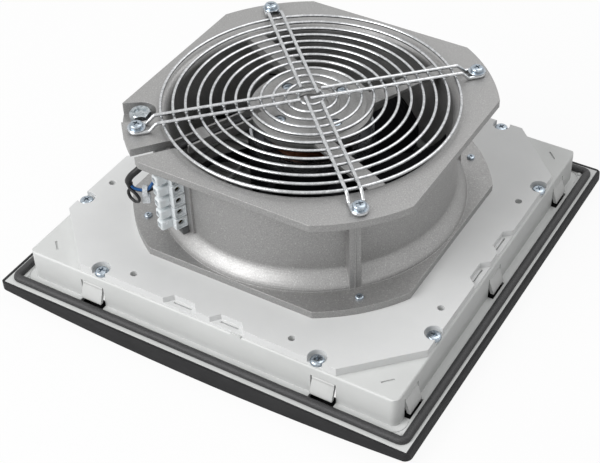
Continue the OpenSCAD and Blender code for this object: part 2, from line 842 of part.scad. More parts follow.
module hub_plate() {
  difference() {
    union() {
      translate([0, 0, hub_z]) cylinder(r = hub_r, h = hub_t - hub_step_h, $fn = fine);
      translate([0, 0, hub_z]) cylinder(r = hub_step_r, h = hub_t, $fn = fine);
    }
    translate([0, 0, hub_top - hub_eye_h]) cylinder(r = hub_eye_r, h = hub_t);
    translate([0, 0, hub_top - hub_ring_h]) difference() {
      cylinder(r = hub_ring_r, h = hub_t);
      translate([0, 0, -over]) cylinder(r = hub_ring_r - hub_ring_w, h = hub_t + 2 * over);
    }
    translate([0, 0, hub_z - over]) hub_screw_sites() cylinder(r = hub_shank_r + fit_gap, h = hub_t + 2 * over, $fn = 24);
    translate([0, 0, hub_top - hub_bore_h]) hub_screw_sites() cylinder(r = hub_bore_r, h = hub_t, $fn = 32);
    rotate([0, 0, strut_angle - 90])
      translate([hub_step_r - hub_gate_in, -strut_offset - strut_w / 2 + channel_wall, hub_z - over])
        cube([hub_gate_l, strut_w - 2 * channel_wall, hub_t + 2 * over]);
  }
}

module pocket_outline(r) {
  rotate([0, 0, pocket_angle]) translate([pocket_c, 0]) {
    circle(r = r, $fn = 48);
    translate([0, -r]) square([2 * r, 2 * r]);
  }
}

// Lug that carries the floor of the open pocket for the earth screw
module pocket_lug() {
  difference() {
    translate([0, 0, fan_top - pocket_depth - lug_t]) linear_extrude(height = pocket_depth + lug_t - flange_t + eps)
      intersection() {
        pocket_outline(pocket_r + lug_wall);
        flange_outline();
      }
    translate([0, 0, fan_z]) cylinder(r = barrel_r - eps, h = fan_h, $fn = fine);
  }
}

module terminal_frame() {
  rotate([0, 0, strut_angle]) children();
}

// Flat pad on the barrel that the terminal strip is screwed to
module terminal_pad() {
  left = pole_len / 2 + pad_left - block_shift;
  root = pad_root_share * barrel_r;
  terminal_frame() translate([-left, -block_y, pad_z])
    cube([left + pad_right, block_y - root, top_flange_z - pad_z + eps]);
}

// Slot and gate through which the motor lead leaves the bore
module lead_way() {
  rotate([0, 0, slot_angle]) {
    translate([bore_r - gate_in, slot_shift - slot_w / 2, top_flange_z - eps])
      cube([corner_r, slot_w, flange_t + eps + over]);
    translate([bore_r - gate_in, slot_shift - slot_w / 2 - gate_side, top_flange_z - lead_gate_h])
      cube([gate_l, lead_gate_w, lead_gate_h]);
  }
}

module fan_housing() {
  color("#a9a8a6") difference() {
    union() {
      rotate_extrude($fn = fine) barrel_section();
      for (z = [fan_z, top_flange_z]) translate([0, 0, z]) linear_extrude(height = flange_t) difference() {
        flange_outline();
        circle(r = bore_r + lip_r + lip_wall / 2, $fn = fine);
      }
      pocket_lug();
      for (k = [0 : 3]) rotate([0, 0, 45 + 90 * k]) corner_rib();
      terminal_pad();
      for (k = [0 : 3]) rotate([0, 0, strut_angle + 90 * k]) strut(k == 3);
      hub_plate();
    }
    lead_way();
    translate([0, 0, motor_flange_z - eps]) cylinder(r = motor_flange_r + run_gap, h = motor_flange_t + eps, $fn = fine);
    translate([0, 0, fan_top - pocket_depth]) linear_extrude(height = pocket_depth + over) pocket_outline(pocket_r);
    rotate([0, 0, pocket_angle]) translate([pocket_c, 0, fan_top - pocket_depth - lug_t - over])
      cylinder(r = ground_shank_r + fit_gap, h = lug_t + 2 * over, $fn = 32);
    for (x = [-1, 1], y = [-1, 1]) translate([x * screw_half, y * screw_half, 0]) {
      translate([0, 0, fan_z - over]) cylinder(r = flange_shank_r + fit_gap, h = flange_t + 2 * over, $fn = 24);
      translate([0, 0, top_flange_z - over]) cylinder(r = flange_hole_r, h = flange_t + 2 * over, $fn = 24);
    }
  }
}

// Motor

module motor_flange() {
  low_seat = low_bearing_z + bearing_t;
  color("#8f9194") difference() {
    union() {
      translate([0, 0, motor_flange_z]) cylinder(r = motor_flange_r, h = motor_flange_t, $fn = fine);
      translate([0, 0, tube_low_z]) cylinder(r = tube_r, h = motor_flange_z - tube_low_z + eps);
    }
    translate([0, 0, tube_low_z - over]) cylinder(r = bearing_r + fit_gap, h = low_seat - tube_low_z + over);
    translate([0, 0, low_seat - over]) cylinder(r = tube_step_r, h = high_bearing_z - low_seat + 2 * over);
    translate([0, 0, high_bearing_z]) cylinder(r = bearing_r + fit_gap, h = hub_z + over - high_bearing_z);
    translate([0, 0, motor_flange_z - over]) hub_screw_sites()
      cylinder(r = hub_shank_r + fit_gap, h = motor_flange_t + 2 * over, $fn = 24);
  }
}

module hub_screws() {
  color("#c2c4c6") translate([0, 0, hub_top - hub_bore_h]) hub_screw_sites()
    pan_screw(hub_head_r, hub_head_h, hub_shank_r, hub_t - hub_bore_h + motor_flange_t - hub_screw_end);
}

module stator_core() {
  color("#6d6f72") translate([0, 0, core_z]) difference() {
    cylinder(r = stator_r, h = core_h, $fn = fine);
    translate([0, 0, -over]) cylinder(r = tube_r + fit_gap, h = core_h + 2 * over);
    for (k = [0 : stator_slots - 1]) rotate([0, 0, k * 360 / stator_slots])
      translate([stator_r - slot_r - slot_bridge, 0, -over]) {
        cylinder(r = slot_r, h = core_h + 2 * over, $fn = 24);
        translate([0, -slot_mouth / 2, 0]) cube([slot_r + 2 * slot_bridge, slot_mouth, core_h + 2 * over]);
      }
  }
}

module stator_windings() {
  color("#b0703c") for (z = [core_z - winding_h, core_z + core_h]) translate([0, 0, z])
    rotate_extrude() translate([winding_in, 0]) {
      translate([winding_round, 0]) square([winding_out - winding_in - 2 * winding_round, winding_h]);
      translate([0, winding_round]) square([winding_out - winding_in, winding_h - 2 * winding_round]);
    }
}

module bearings() {
  color("#9fa3a6") for (z = [low_bearing_z, high_bearing_z]) translate([0, 0, z]) difference() {
    cylinder(r = bearing_r, h = bearing_t);
    translate([0, 0, -over]) cylinder(r = shaft_r + fit_gap, h = bearing_t + 2 * over, $fn = 48);
    for (face = [-over, bearing_t - race_sink]) translate([0, 0, face]) difference() {
      cylinder(r = bearing_r - race_t, h = race_sink + over);
      translate([0, 0, -over]) cylinder(r = shaft_r + race_t, h = race_sink + 3 * over);
    }
  }
}

module rotor_can() {
  floor_z = rotor_z + can_floor_t;
  inside = rotor_r - can_t;
  color("#c4c6c8") difference() {
    rotate_extrude($fn = fine) polygon([[0, rotor_z], [rotor_r - can_edge_r, rotor_z],
      [rotor_r - can_edge_share * can_edge_r, rotor_z + can_edge_share * can_edge_r], [rotor_r, rotor_z + can_edge_r],
      [rotor_r, rotor_top], [inside, rotor_top], [inside, floor_z + can_inner_edge], [inside - can_inner_edge, floor_z],
      [can_hub_r, floor_z], [can_hub_r, floor_z + can_hub_h], [0, floor_z + can_hub_h]]);
    translate([0, 0, rotor_z - over]) cylinder(r = shaft_r + fit_gap, h = can_floor_t + can_hub_h + 2 * over);
  }
}

module rotor_core() {
  color("#77797b") translate([0, 0, core_z]) difference() {
    cylinder(r = rotor_r - can_t - fit_gap, h = core_h, $fn = fine);
    translate([0, 0, -over]) cylinder(r = stator_r + air_gap, h = core_h + 2 * over, $fn = fine);
  }
}

module shaft() {
  color("#b8babc") translate([0, 0, rotor_z]) cylinder(r = shaft_r, h = shaft_top - rotor_z);
}

module shaft_clip() {
  color("#55585a") translate([0, 0, high_bearing_z + bearing_t + run_gap]) difference() {
    cylinder(r = clip_r, h = clip_t);
    translate([0, 0, -over]) cylinder(r = shaft_r + fit_gap, h = clip_t + 2 * over);
    translate([0, -clip_mouth / 2, -over]) cube([clip_r + over, clip_mouth, clip_t + 2 * over]);
  }
}

// Sickle blade: the chord leans less and the mid-line swings forward towards the tip
function blade_point(s, t, side) =
  let (r = root_r + (tip_r - root_r) * s,
    chord = root_chord + (tip_chord - root_chord) * s,
    lift = root_lift + (tip_lift - root_lift) * s,
    spread = sqrt(chord * chord - lift * lift),
    a = blade_sweep * s * s + (t - 0.5) * spread / r * 180 / PI,
    z = blade_z + (t - 0.5) * lift + camber * sin(180 * t) + side * blade_t / 2)
  [r * cos(a), r * sin(a), z];

function quad(a, b, c, d) = [[a, b, c], [a, c, d]];

module blade() {
  across = blade_cols + 1;
  sheet = (blade_rows + 1) * across;
  out = blade_rows * across;
  points = [for (side = [-1, 1], i = [0 : blade_rows], j = [0 : blade_cols])
    blade_point(i / blade_rows, j / blade_cols, side)];
  under = [for (i = [0 : blade_rows - 1], j = [0 : blade_cols - 1]) let (p = i * across + j)
    each quad(p, p + across, p + across + 1, p + 1)];
  over = [for (i = [0 : blade_rows - 1], j = [0 : blade_cols - 1]) let (p = sheet + i * across + j)
    each quad(p, p + 1, p + across + 1, p + across)];
  root_end = [for (j = [0 : blade_cols - 1]) each quad(j, j + 1, j + 1 + sheet, j + sheet)];
  tip_end = [for (j = [out : out + blade_cols - 1]) each quad(j, j + sheet, j + 1 + sheet, j + 1)];
  front = [for (i = [0 : blade_rows - 1]) let (p = i * across)
    each quad(p, p + sheet, p + across + sheet, p + across)];
  back = [for (i = [0 : blade_rows - 1]) let (p = i * across + blade_cols)
    each quad(p, p + across, p + across + sheet, p + sheet)];
  polyhedron(points = points, faces = concat(under, over, root_end, tip_end, front, back), convexity = 4);
}

module impeller() {
  color("#2b2f36") {
    translate([0, 0, band_z]) difference() {
      cylinder(r = rotor_r + band_t, h = band_h, $fn = fine);
      translate([0, 0, -over]) cylinder(r = rotor_r + fit_gap, h = band_h + 2 * over, $fn = fine);
    }
    for (k = [0 : blade_count - 1]) rotate([0, 0, k * 360 / blade_count]) blade();
  }
}

// Finger guard

// One leg of a hairpin from its open end, over the rings and down the crank to the flange
function guard_leg(y, end) =
  let (side = arm_bend_r * sin(crank_slope), dip = arm_bend_r * (1 - cos(crank_slope)),
    slant = (arm_z - arm_low_z - 2 * dip) / sin(crank_slope), low_x = screw_ring - crank_room,
    high_x = low_x - 2 * side - slant * cos(crank_slope), step = crank_slope / 3)
  concat([[end, y, arm_z]],
    [for (a = [0 : step : crank_slope]) [high_x + arm_bend_r * sin(a), y, arm_z - arm_bend_r * (1 - cos(a))]],
    [for (a = [crank_slope : -step : 0]) [low_x - arm_bend_r * sin(a), y, arm_low_z + arm_bend_r * (1 - cos(a))]]);

// Hairpin along +X, closed round the screw
module guard_arm(ends) {
  turns = 12;
  back = guard_leg(arm_half, ends[1]);
  loop = [for (i = [0 : turns]) let (a = 180 * i / turns - 90)
    [screw_ring + arm_half * cos(a), arm_half * sin(a), arm_low_z]];
  tube(concat(guard_leg(-arm_half, ends[0]), loop, [for (i = [len(back) - 1 : -1 : 0]) back[i]]), arm_wire, 10);
}

module finger_guard() {
  color("#c6c8ca") for (i = [0 : ring_count - 1]) translate([0, 0, ring_z]) rotate_extrude($fn = fine)
    translate([ring_first + i * ring_pitch, 0]) circle(r = ring_wire / 2, $fn = 16);
}

module guard_arms() {
  color("#cccecf") for (k = [0 : 3]) rotate([0, 0, -135 + 90 * k]) guard_arm(arm_half * arm_end_shares[k]);
}

module guard_sites() {
  for (x = [-1, 1], y = [-1, 1]) translate([x * screw_half, y * screw_half, fan_top + arm_wire]) children();
}

module guard_washers() {
  color("#d0d2d3") guard_sites() difference() {
    cylinder(r = washer_r, h = washer_t, $fn = 32);
    translate([0, 0, -over]) cylinder(r = washer_hole_r, h = washer_t + 2 * over, $fn = 24);
  }
}

module guard_screws() {
  color("#c4c7c9") guard_sites() translate([0, 0, washer_t])
    pan_screw(guard_head_r, guard_head_h, guard_shank_r, washer_t + arm_wire + flange_t + guard_screw_end);
}

// Earth screw in the flange's pocket

module ground_site() {
  rotate([0, 0, pocket_angle]) translate([pocket_c, 0, ground_floor]) children();
}

// Hexagon screw with a dished head over a locking nut
module ground_screw() {
  head_z = pocket_depth + head_proud - ground_head_h;
  color("#c8cbcd") ground_site() difference() {
    union() {
      translate([0, 0, -lug_t - ground_tail]) cylinder(r = ground_shank_r, h = lug_t + ground_tail + head_z + eps, $fn = 32);
      translate([0, 0, head_z]) intersection() {
        cylinder(d = ground_across / cos(30), h = ground_head_h, $fn = 6);
        rotate_extrude($fn = 48) polygon([[0, 0], [ground_across / sqrt(3), 0],
          [ground_across / sqrt(3), ground_head_h - ground_bevel], [ground_across / 2, ground_head_h], [0, ground_head_h]]);
      }
    }
    translate([0, 0, head_z + ground_head_h - ground_dish_h])
      cylinder(r1 = ground_dish_r - ground_dish_h / 2, r2 = ground_dish_r, h = ground_dish_h + eps, $fn = 48);
  }
}

module ground_washers() {
  head_z = pocket_depth + head_proud - ground_head_h;
  color("#d3d5d6") ground_site() for (z = [0, head_z - ground_washer_t]) translate([0, 0, z]) difference() {
    cylinder(r = ground_washer_r, h = ground_washer_t, $fn = 48);
    translate([0, 0, -over]) cylinder(r = ground_shank_r + fit_gap, h = ground_washer_t + 2 * over, $fn = 32);
  }
}

module ground_nut() {
  color("#cdd0d2") ground_site() translate([0, 0, ground_washer_t]) difference() {
    cylinder(d = nut_across / cos(30), h = nut_h, $fn = 6);
    translate([0, 0, -over]) cylinder(r = ground_shank_r + fit_gap, h = nut_h + 2 * over, $fn = 32);
  }
}

// Terminal strip on the pad of the barrel: wires enter at its two ends, screws sit in the towers

module pole_sites() {
  terminal_frame() for (i = [0 : pole_count - 1])
    translate([block_shift, -block_y, block_z + (i + 0.5) * pole_pitch]) children();
}

module screw_tower() {
  translate([tower_x, -block_d + tower_r, 0]) rotate([90, 0, 0]) hull() {
    cube([tower_w, tower_h, tower_r], center = true);
    translate([0, 0, tower_d]) cube([tower_w - 2 * tower_r, tower_h - 2 * tower_r, 2 * tower_r], center = true);
    translate([0, 0, tower_d - tower_r / 2]) cube([tower_w - tower_r / 2, tower_h - tower_r / 2, tower_r], center = true);
  }
}

module terminal_block() {
  left = -pole_len / 2;
  color("#e6e9ea") difference() {
    union() {
      pole_sites() {
        translate([left, -block_d, -pole_h / 2]) cube([pole_len, block_d, pole_h]);
        screw_tower();
      }
      terminal_frame() translate([block_shift - pole_len / 2 + web_inset, -block_y - web_t, block_z])
        cube([pole_len - 2 * web_inset, web_t, pole_count * pole_pitch]);
    }
    pole_sites() {
      translate([left - over, -block_d / 2, 0]) rotate([0, 90, 0]) cylinder(r = entry_r, h = pole_len + 2 * over, $fn = 24);
      translate([left + cage_inset, -block_d / 2, 0]) rotate([0, 90, 0])
        cylinder(r = cage_r + fit_gap, h = pole_len - cage_inset - cage_end, $fn = 24);
      translate([tower_x, -block_d / 2, 0]) rotate([90, 0, 0])
        cylinder(r = tscrew_head_r + tscrew_gap, h = block_d + tower_d, $fn = 24);
      translate([pole_len / 2 - mouth_depth, -block_d + mouth_wall, mouth_wall - pole_h / 2])
        cube([mouth_depth + over, block_d - 2 * mouth_wall, pole_h - 2 * mouth_wall]);
      translate([pole_len / 2 - cage_end - eps, -(block_d + mouth_slot_l) / 2, -mouth_slot_h / 2])
        cube([cage_end, mouth_slot_l, mouth_slot_h]);
    }
  }
}

module terminal_clamps() {
  left = -pole_len / 2;
  color("#b8963e") pole_sites() difference() {
    translate([left + cage_inset, -block_d / 2, 0]) rotate([0, 90, 0])
      cylinder(r = cage_r, h = pole_len - cage_inset - cage_end, $fn = 24);
    translate([left, -block_d / 2, 0]) rotate([0, 90, 0]) cylinder(r = entry_r, h = pole_len, $fn = 24);
    translate([tower_x, 0, 0]) rotate([90, 0, 0]) cylinder(r = tscrew_r + fit_gap, h = block_d, $fn = 24);
  }
}

module terminal_screws() {
  color("#c9ccce") pole_sites() translate([tower_x, -block_d / 2 - tscrew_foot, 0]) rotate([90, 0, 0]) {
    cylinder(r = tscrew_r, h = tscrew_l, $fn = 24);
    translate([0, 0, tscrew_l]) difference() {
      cylinder(r = tscrew_head_r, h = tscrew_head_h, $fn = 24);
      translate([-tscrew_head_r, -tscrew_slot_w / 2, tscrew_head_h - tscrew_slot_h])
        cube([2 * tscrew_head_r, tscrew_slot_w, tscrew_slot_h + over]);
    }
  }
}

module terminal_end() {
  color("#5b5d5f") terminal_frame() translate([0, -block_y, block_z - fit_gap]) rotate([0, -90, 0])
    linear_extrude(height = end_w) hull() {
      translate([-end_round, -end_d]) square([end_round, end_d]);
      translate([-end_h, -end_round]) square([end_round, end_round]);
      translate([end_round - end_h, end_round - end_d]) circle(r = end_round, $fn = 32);
    }
}

// Wiring from the motor through the strut's channel to the strip

function unit(v) = v / norm(v);

function tangent(path, i) = unit(path[min(i + 1, len(path) - 1)] - path[max(i - 1, 0)]);

// Frame carried along a path without twisting
function frames(path) = [for (i = 0, t = tangent(path, 0), u = unit(cross(t, [0.1, 0.2, 1])); i < len(path);
  i = i + 1, t = tangent(path, min(i, len(path) - 1)), u = unit(u - (u * t) * t)) [t, u, cross(t, u)]];

module tube(path, d, sides) {
  fr = frames(path);
  last = len(path) - 1;
  points = [for (i = [0 : last], k = [0 : sides - 1])
    path[i] + d / 2 * (cos(360 * k / sides) * fr[i][1] + sin(360 * k / sides) * fr[i][2])];
  walls = [for (i = [0 : last - 1], k = [0 : sides - 1]) let (n = (k + 1) % sides)
    each [[i * sides + k, i * sides + n, (i + 1) * sides + n], [i * sides + k, (i + 1) * sides + n, (i + 1) * sides + k]]];
  polyhedron(points = points, convexity = 6, faces = concat(walls,
    [[for (k = [sides - 1 : -1 : 0]) k]], [[for (k = [0 : sides - 1]) last * sides + k]]));
}

// Smooth curve through hand-set points
function spline_at(p, i, t) =
  let (a = p[max(i - 1, 0)], b = p[i], c = p[i + 1], d = p[min(i + 2, len(p) - 1)])
  0.5 * ((2 * b) + (c - a) * t + (2 * a - 5 * b + 4 * c - d) * t * t + (3 * b - a - 3 * c + d) * t * t * t);

function spline(p, steps) = concat([for (i = [0 : len(p) - 2], k = [0 : steps - 1]) spline_at(p, i, k / steps)], [p[len(p) - 1]]);

function place(share) = [share[0] * corner_r, share[1] * corner_r, fan_z + share[2] * fan_h];

function from_strip(p) = [p[0] * cos(strut_angle) - p[1] * sin(strut_angle),
  p[0] * sin(strut_angle) + p[1] * cos(strut_angle), p[2]];

function entry(row, depth) = from_strip([depth - pole_len, -block_y - block_d / 2, block_z + (row + 0.5) * pole_pitch]);

module motor_lead() {
  color("#1b1c1e") tube(spline(concat([from_strip([-strut_offset, -lead_start, lead_z]),
    from_strip([-strut_offset, -(lead_start + bore_r) / 2, lead_z])], [for (p = lead_shares) place(p)]), 5), sheath_d, 12);
}

module blue_wire() {
  color("#2a67a8") tube(spline(concat([for (p = blue_shares) place(p)], [entry(blue_row, 0), entry(blue_row, wire_in)]), 5),
    wire_d, 8);
}

module black_wire() {
  color("#151517") tube(spline(concat([for (p = black_shares) place(p)], [entry(black_row, 0), entry(black_row, wire_in)]), 5),
    wire_d, 8);
}

// Tie round the two wires, its head hanging down
module cable_tie() {
  color("#eceff0") translate(place(tie_share)) rotate([0, 0, tie_turn]) {
    rotate([0, 90, 0]) difference() {
      cylinder(r = tie_r, h = tie_w, center = true, $fn = 32);
      cylinder(r = tie_r - tie_t, h = tie_w + 2 * over, center = true, $fn = 32);
    }
    translate([-tie_head_w / 2, -tie_head_d / 2, -tie_r - tie_head_h + tie_t]) cube([tie_head_w, tie_head_d, tie_head_h]);
  }
}

front_cover();
filter_mat();
base_frame();
seal();
latch(0);  // latch_1
latch(1);  // latch_2
latch(2);  // latch_3
latch(3);  // latch_4
latch(4);  // latch_5
latch(5);  // latch_6
latch(6);  // latch_7
latch(7);  // latch_8
latch(8);  // latch_9
latch(9);  // latch_10
carrier_plate();
plate_screws();
fan_housing();
flange_screws();
motor_flange();
hub_screws();
stator_core();
stator_windings();
bearings();
rotor_can();
rotor_core();
shaft();
shaft_clip();
impeller();
finger_guard();
guard_arms();
guard_washers();
guard_screws();
ground_screw();
ground_washers();
ground_nut();
terminal_block();
terminal_clamps();
terminal_screws();
terminal_end();
motor_lead();
blue_wire();
black_wire();
cable_tie();
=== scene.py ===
import math
import bpy
from mathutils import Matrix, Vector


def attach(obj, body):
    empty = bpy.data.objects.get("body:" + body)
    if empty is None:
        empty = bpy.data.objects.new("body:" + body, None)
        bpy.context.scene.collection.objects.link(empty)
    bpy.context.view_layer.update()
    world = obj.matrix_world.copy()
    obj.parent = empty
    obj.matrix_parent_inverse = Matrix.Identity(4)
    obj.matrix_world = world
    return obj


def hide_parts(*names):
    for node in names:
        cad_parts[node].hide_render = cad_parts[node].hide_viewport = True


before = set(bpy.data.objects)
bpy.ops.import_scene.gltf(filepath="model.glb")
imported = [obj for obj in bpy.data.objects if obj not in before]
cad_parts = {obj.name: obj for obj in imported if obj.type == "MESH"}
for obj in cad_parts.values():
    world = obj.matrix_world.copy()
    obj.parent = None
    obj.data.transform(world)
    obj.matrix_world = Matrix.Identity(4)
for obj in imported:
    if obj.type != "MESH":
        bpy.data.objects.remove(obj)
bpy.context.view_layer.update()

mm = 0.001


# Camera, set where the photograph was taken from
cameraFacts = {
    "place": (0.39421, -0.64284, 0.66826),
    "right": (0.87463, 0.48479, 0.00158),
    "forward": (-0.36136, 0.65412, -0.66449),
    "lens": 81.08,
    "shift": (-0.1018, 0.0130),
    "clip": (0.05, 20),
}


def setCamera():
    data = bpy.data.cameras.new("photoCamera")
    camera = bpy.data.objects.new("photoCamera", data)
    bpy.context.scene.collection.objects.link(camera)
    right = Vector(cameraFacts["right"]).normalized()
    back = -Vector(cameraFacts["forward"]).normalized()
    up = back.cross(right).normalized()
    right = up.cross(back)
    turn = Matrix((right, up, back)).transposed().to_4x4()
    camera.matrix_world = Matrix.Translation(cameraFacts["place"]) @ turn
    data.lens = cameraFacts["lens"]
    data.shift_x, data.shift_y = cameraFacts["shift"]
    data.clip_start, data.clip_end = cameraFacts["clip"]
    bpy.context.scene.camera = camera
    print("camera set")


# Floor, world and lamps
studioFacts = {
    "floorSize": 6,
    "floorColour": (0.8, 0.8, 0.8, 1),
    "worldStrength": 0.44,
    "floorGlow": 0.93,  # how far the camera sees the floor as plain white
    "key": {"place": (-0.8, -1.4, 1.35), "size": 1.3, "power": 34},
    "fill": {"place": (0.5, 0.9, 1.9), "size": 1.5, "power": 13},
}


def newMaterial(name):
    material = bpy.data.materials.new(name)
    material.use_nodes = True
    material.node_tree.nodes.clear()
    return material, material.node_tree.nodes, material.node_tree.links


def combined(nodes, links, operation, first, second):
    sums = nodes.new("ShaderNodeMath")
    sums.operation = operation
    links.new(first, sums.inputs[0])
    links.new(second, sums.inputs[1])
    return sums.outputs[0]


# White where the camera or a reflection sees it, plain light for all else
def seenMask(nodes, links):
    path = nodes.new("ShaderNodeLightPath")
    seen = combined(nodes, links, "MAXIMUM", path.outputs["Is Camera Ray"], path.outputs["Is Glossy Ray"])
    return combined(nodes, links, "MAXIMUM", seen, path.outputs["Is Transmission Ray"])


def mixTo(nodes, links, output, factor, first, second):
    mix = nodes.new("ShaderNodeMixShader")
    links.new(factor, mix.inputs[0])
    links.new(first.outputs[0], mix.inputs[1])
    links.new(second.outputs[0], mix.inputs[2])
    links.new(mix.outputs[0], output.inputs["Surface"])


def layFloor():
    bpy.ops.mesh.primitive_plane_add(size=studioFacts["floorSize"], location=(0, 0, 0))
    floor = bpy.context.object
    floor.name = "floor"
    material, nodes, links = newMaterial("paleFloor")
    output = nodes.new("ShaderNodeOutputMaterial")
    matt = nodes.new("ShaderNodeBsdfDiffuse")
    matt.inputs["Color"].default_value = studioFacts["floorColour"]
    glow = nodes.new("ShaderNodeEmission")
    glow.inputs["Strength"].default_value = 1
    path = nodes.new("ShaderNodeLightPath")
    share = nodes.new("ShaderNodeMath")
    share.operation = "MULTIPLY"
    share.inputs[1].default_value = studioFacts["floorGlow"]
    links.new(path.outputs["Is Camera Ray"], share.inputs[0])
    mixTo(nodes, links, output, share.outputs[0], matt, glow)
    floor.data.materials.append(material)


def setWorld():
    world = bpy.data.worlds.new("studio")
    bpy.context.scene.world = world
    world.use_nodes = True
    nodes, links = world.node_tree.nodes, world.node_tree.links
    nodes.clear()
    output = nodes.new("ShaderNodeOutputWorld")
    seen = nodes.new("ShaderNodeBackground")
    seen.inputs["Strength"].default_value = 1
    seen.inputs["Color"].default_value = (1, 1, 1, 1)
    light = nodes.new("ShaderNodeBackground")
    light.inputs["Strength"].default_value = studioFacts["worldStrength"]
    mixTo(nodes, links, output, seenMask(nodes, links), light, seen)


def setLamps():
    for name in ("key", "fill"):
        facts = studioFacts[name]
        data = bpy.data.lights.new(name, "AREA")
        data.size = facts["size"]
        data.energy = facts["power"]
        lamp = bpy.data.objects.new(name, data)
        lamp.location = facts["place"]
        lamp.rotation_euler = (-Vector(facts["place"])).to_track_quat("-Z", "Y").to_euler()
        bpy.context.scene.collection.objects.link(lamp)


def setStudio():
    layFloor()
    setWorld()
    setLamps()
    bpy.context.scene.view_settings.view_transform = "Standard"
    print("studio set")


# Small helpers: selecting, joining, applying, and the nodes that the finishes share
sameSpot = 0.00001  # points closer than this, in metres, become one


def letGo():
    if bpy.context.object and bpy.context.object.mode != "OBJECT":
        bpy.ops.object.mode_set(mode="OBJECT")
    for thing in list(bpy.context.selected_objects):
        thing.select_set(False)


def takeUp(thing):
    letGo()
    thing.select_set(True)
    bpy.context.view_layer.objects.active = thing


def joinUp(parts, name):
    takeUp(parts[0])
    for part in parts[1:]:
        part.select_set(True)
    if len(parts) > 1:
        bpy.ops.object.join()
    joined = bpy.context.object
    joined.name = name
    return joined


def applyModifiers(thing):
    takeUp(thing)
    for modifier in list(thing.modifiers):
        bpy.ops.object.modifier_apply(modifier=modifier.name)


def settle(thing, angle=35):
    takeUp(thing)
    bpy.ops.object.transform_apply(location=True, rotation=True, scale=True)
    bpy.ops.object.shade_smooth_by_angle(angle=math.radians(angle))
    return thing


def addBevel(thing, width, segments, angle=30):
    bevel = thing.modifiers.new("softEdges", "BEVEL")
    bevel.width = width
    bevel.segments = segments
    bevel.limit_method = "ANGLE"
    bevel.angle_limit = math.radians(angle)


def cutAway(thing, tool, operation="DIFFERENCE"):
    cut = thing.modifiers.new("cut", "BOOLEAN")
    cut.operation = operation
    cut.solver = "EXACT"
    cut.object = tool
    applyModifiers(thing)
    bpy.data.objects.remove(tool)


def lathe(name, profile, steps):
    mesh = bpy.data.meshes.new(name)
    mesh.from_pydata([(r * mm, 0, z * mm) for r, z in profile],
                     [(i, i + 1) for i in range(len(profile) - 1)], [])
    thing = bpy.data.objects.new(name, mesh)
    bpy.context.scene.collection.objects.link(thing)
    takeUp(thing)
    bpy.ops.object.mode_set(mode="EDIT")
    bpy.ops.mesh.select_all(action="SELECT")
    bpy.ops.mesh.spin(steps=steps, angle=2 * math.pi, center=(0, 0, 0), axis=(0, 0, 1))
    bpy.ops.mesh.select_all(action="SELECT")
    bpy.ops.mesh.remove_doubles(threshold=sameSpot)
    bpy.ops.mesh.normals_make_consistent(inside=False)
    bpy.ops.object.mode_set(mode="OBJECT")
    return thing


def spreadCopies(master, name, places):
    copies = []
    for place in places:
        copy = master.copy()
        copy.data = master.data.copy()
        copy.data.transform(place)
        bpy.context.scene.collection.objects.link(copy)
        copies.append(copy)
    bpy.data.objects.remove(master)
    return settle(joinUp(copies, name))


def cornersOf(x, y):
    return [(sideX * x, sideY * y) for sideX in (-1, 1) for sideY in (-1, 1)]


def at(x, y, z, turn=0):
    return Matrix.Translation((x * mm, y * mm, z * mm)) @ Matrix.Rotation(math.radians(turn), 4, "Z")


def dress(thing, material):
    thing.data.materials.clear()
    thing.data.materials.append(material)


def newShader(name, facts):
    material, nodes, links = newMaterial(name)
    output = nodes.new("ShaderNodeOutputMaterial")
    shader = nodes.new("ShaderNodeBsdfPrincipled")
    links.new(shader.outputs[0], output.inputs["Surface"])
    for socket, value in facts.items():
        shader.inputs[socket].default_value = value
    place = nodes.new("ShaderNodeTexCoord").outputs["Object"]
    return material, nodes, links, shader, place


def stretched(nodes, links, place, scale):
    mapping = nodes.new("ShaderNodeMapping")
    mapping.inputs["Scale"].default_value = scale
    links.new(place, mapping.inputs["Vector"])
    return mapping.outputs[0]


# A wave texture's bands are a tenth of pi apart at scale 1
def bandScale(spacing):
    return math.pi / (10 * spacing * mm)


def cloud(nodes, links, place, size, detail=3, rough=0.5):
    noise = nodes.new("ShaderNodeTexNoise")
    noise.inputs["Scale"].default_value = 1 / (size * mm)
    noise.inputs["Detail"].default_value = detail
    noise.inputs["Roughness"].default_value = rough
    links.new(place, noise.inputs["Vector"])
    return noise.outputs["Fac"]


def ranged(nodes, links, value, low, high, fromLow=0.3, fromHigh=0.7):
    ranger = nodes.new("ShaderNodeMapRange")
    ranger.inputs["From Min"].default_value = fromLow
    ranger.inputs["From Max"].default_value = fromHigh
    ranger.inputs["To Min"].default_value = low
    ranger.inputs["To Max"].default_value = high
    links.new(value, ranger.inputs["Value"])
    return ranger.outputs[0]


def blended(nodes, links, factor, first, second):
    mix = nodes.new("ShaderNodeMix")
    mix.data_type = "RGBA"
    if hasattr(first, "node"):
        links.new(first, mix.inputs[6])
    else:
        mix.inputs[6].default_value = (*first, 1)
    if hasattr(second, "node"):
        links.new(second, mix.inputs[7])
    else:
        mix.inputs[7].default_value = (*second, 1)
    links.new(factor, mix.inputs[0])
    return mix.outputs[2]


edgeSamples = 6  # rays for each rounded edge


def addBump(nodes, links, shader, height, depth, edge=0):
    bump = nodes.new("ShaderNodeBump")
    bump.inputs["Distance"].default_value = depth * mm
    links.new(height, bump.inputs["Height"])
    if edge:
        soft = nodes.new("ShaderNodeBevel")
        soft.samples = edgeSamples
        soft.inputs["Radius"].default_value = edge * mm
        links.new(soft.outputs[0], bump.inputs["Normal"])
    links.new(bump.outputs[0], shader.inputs["Normal"])


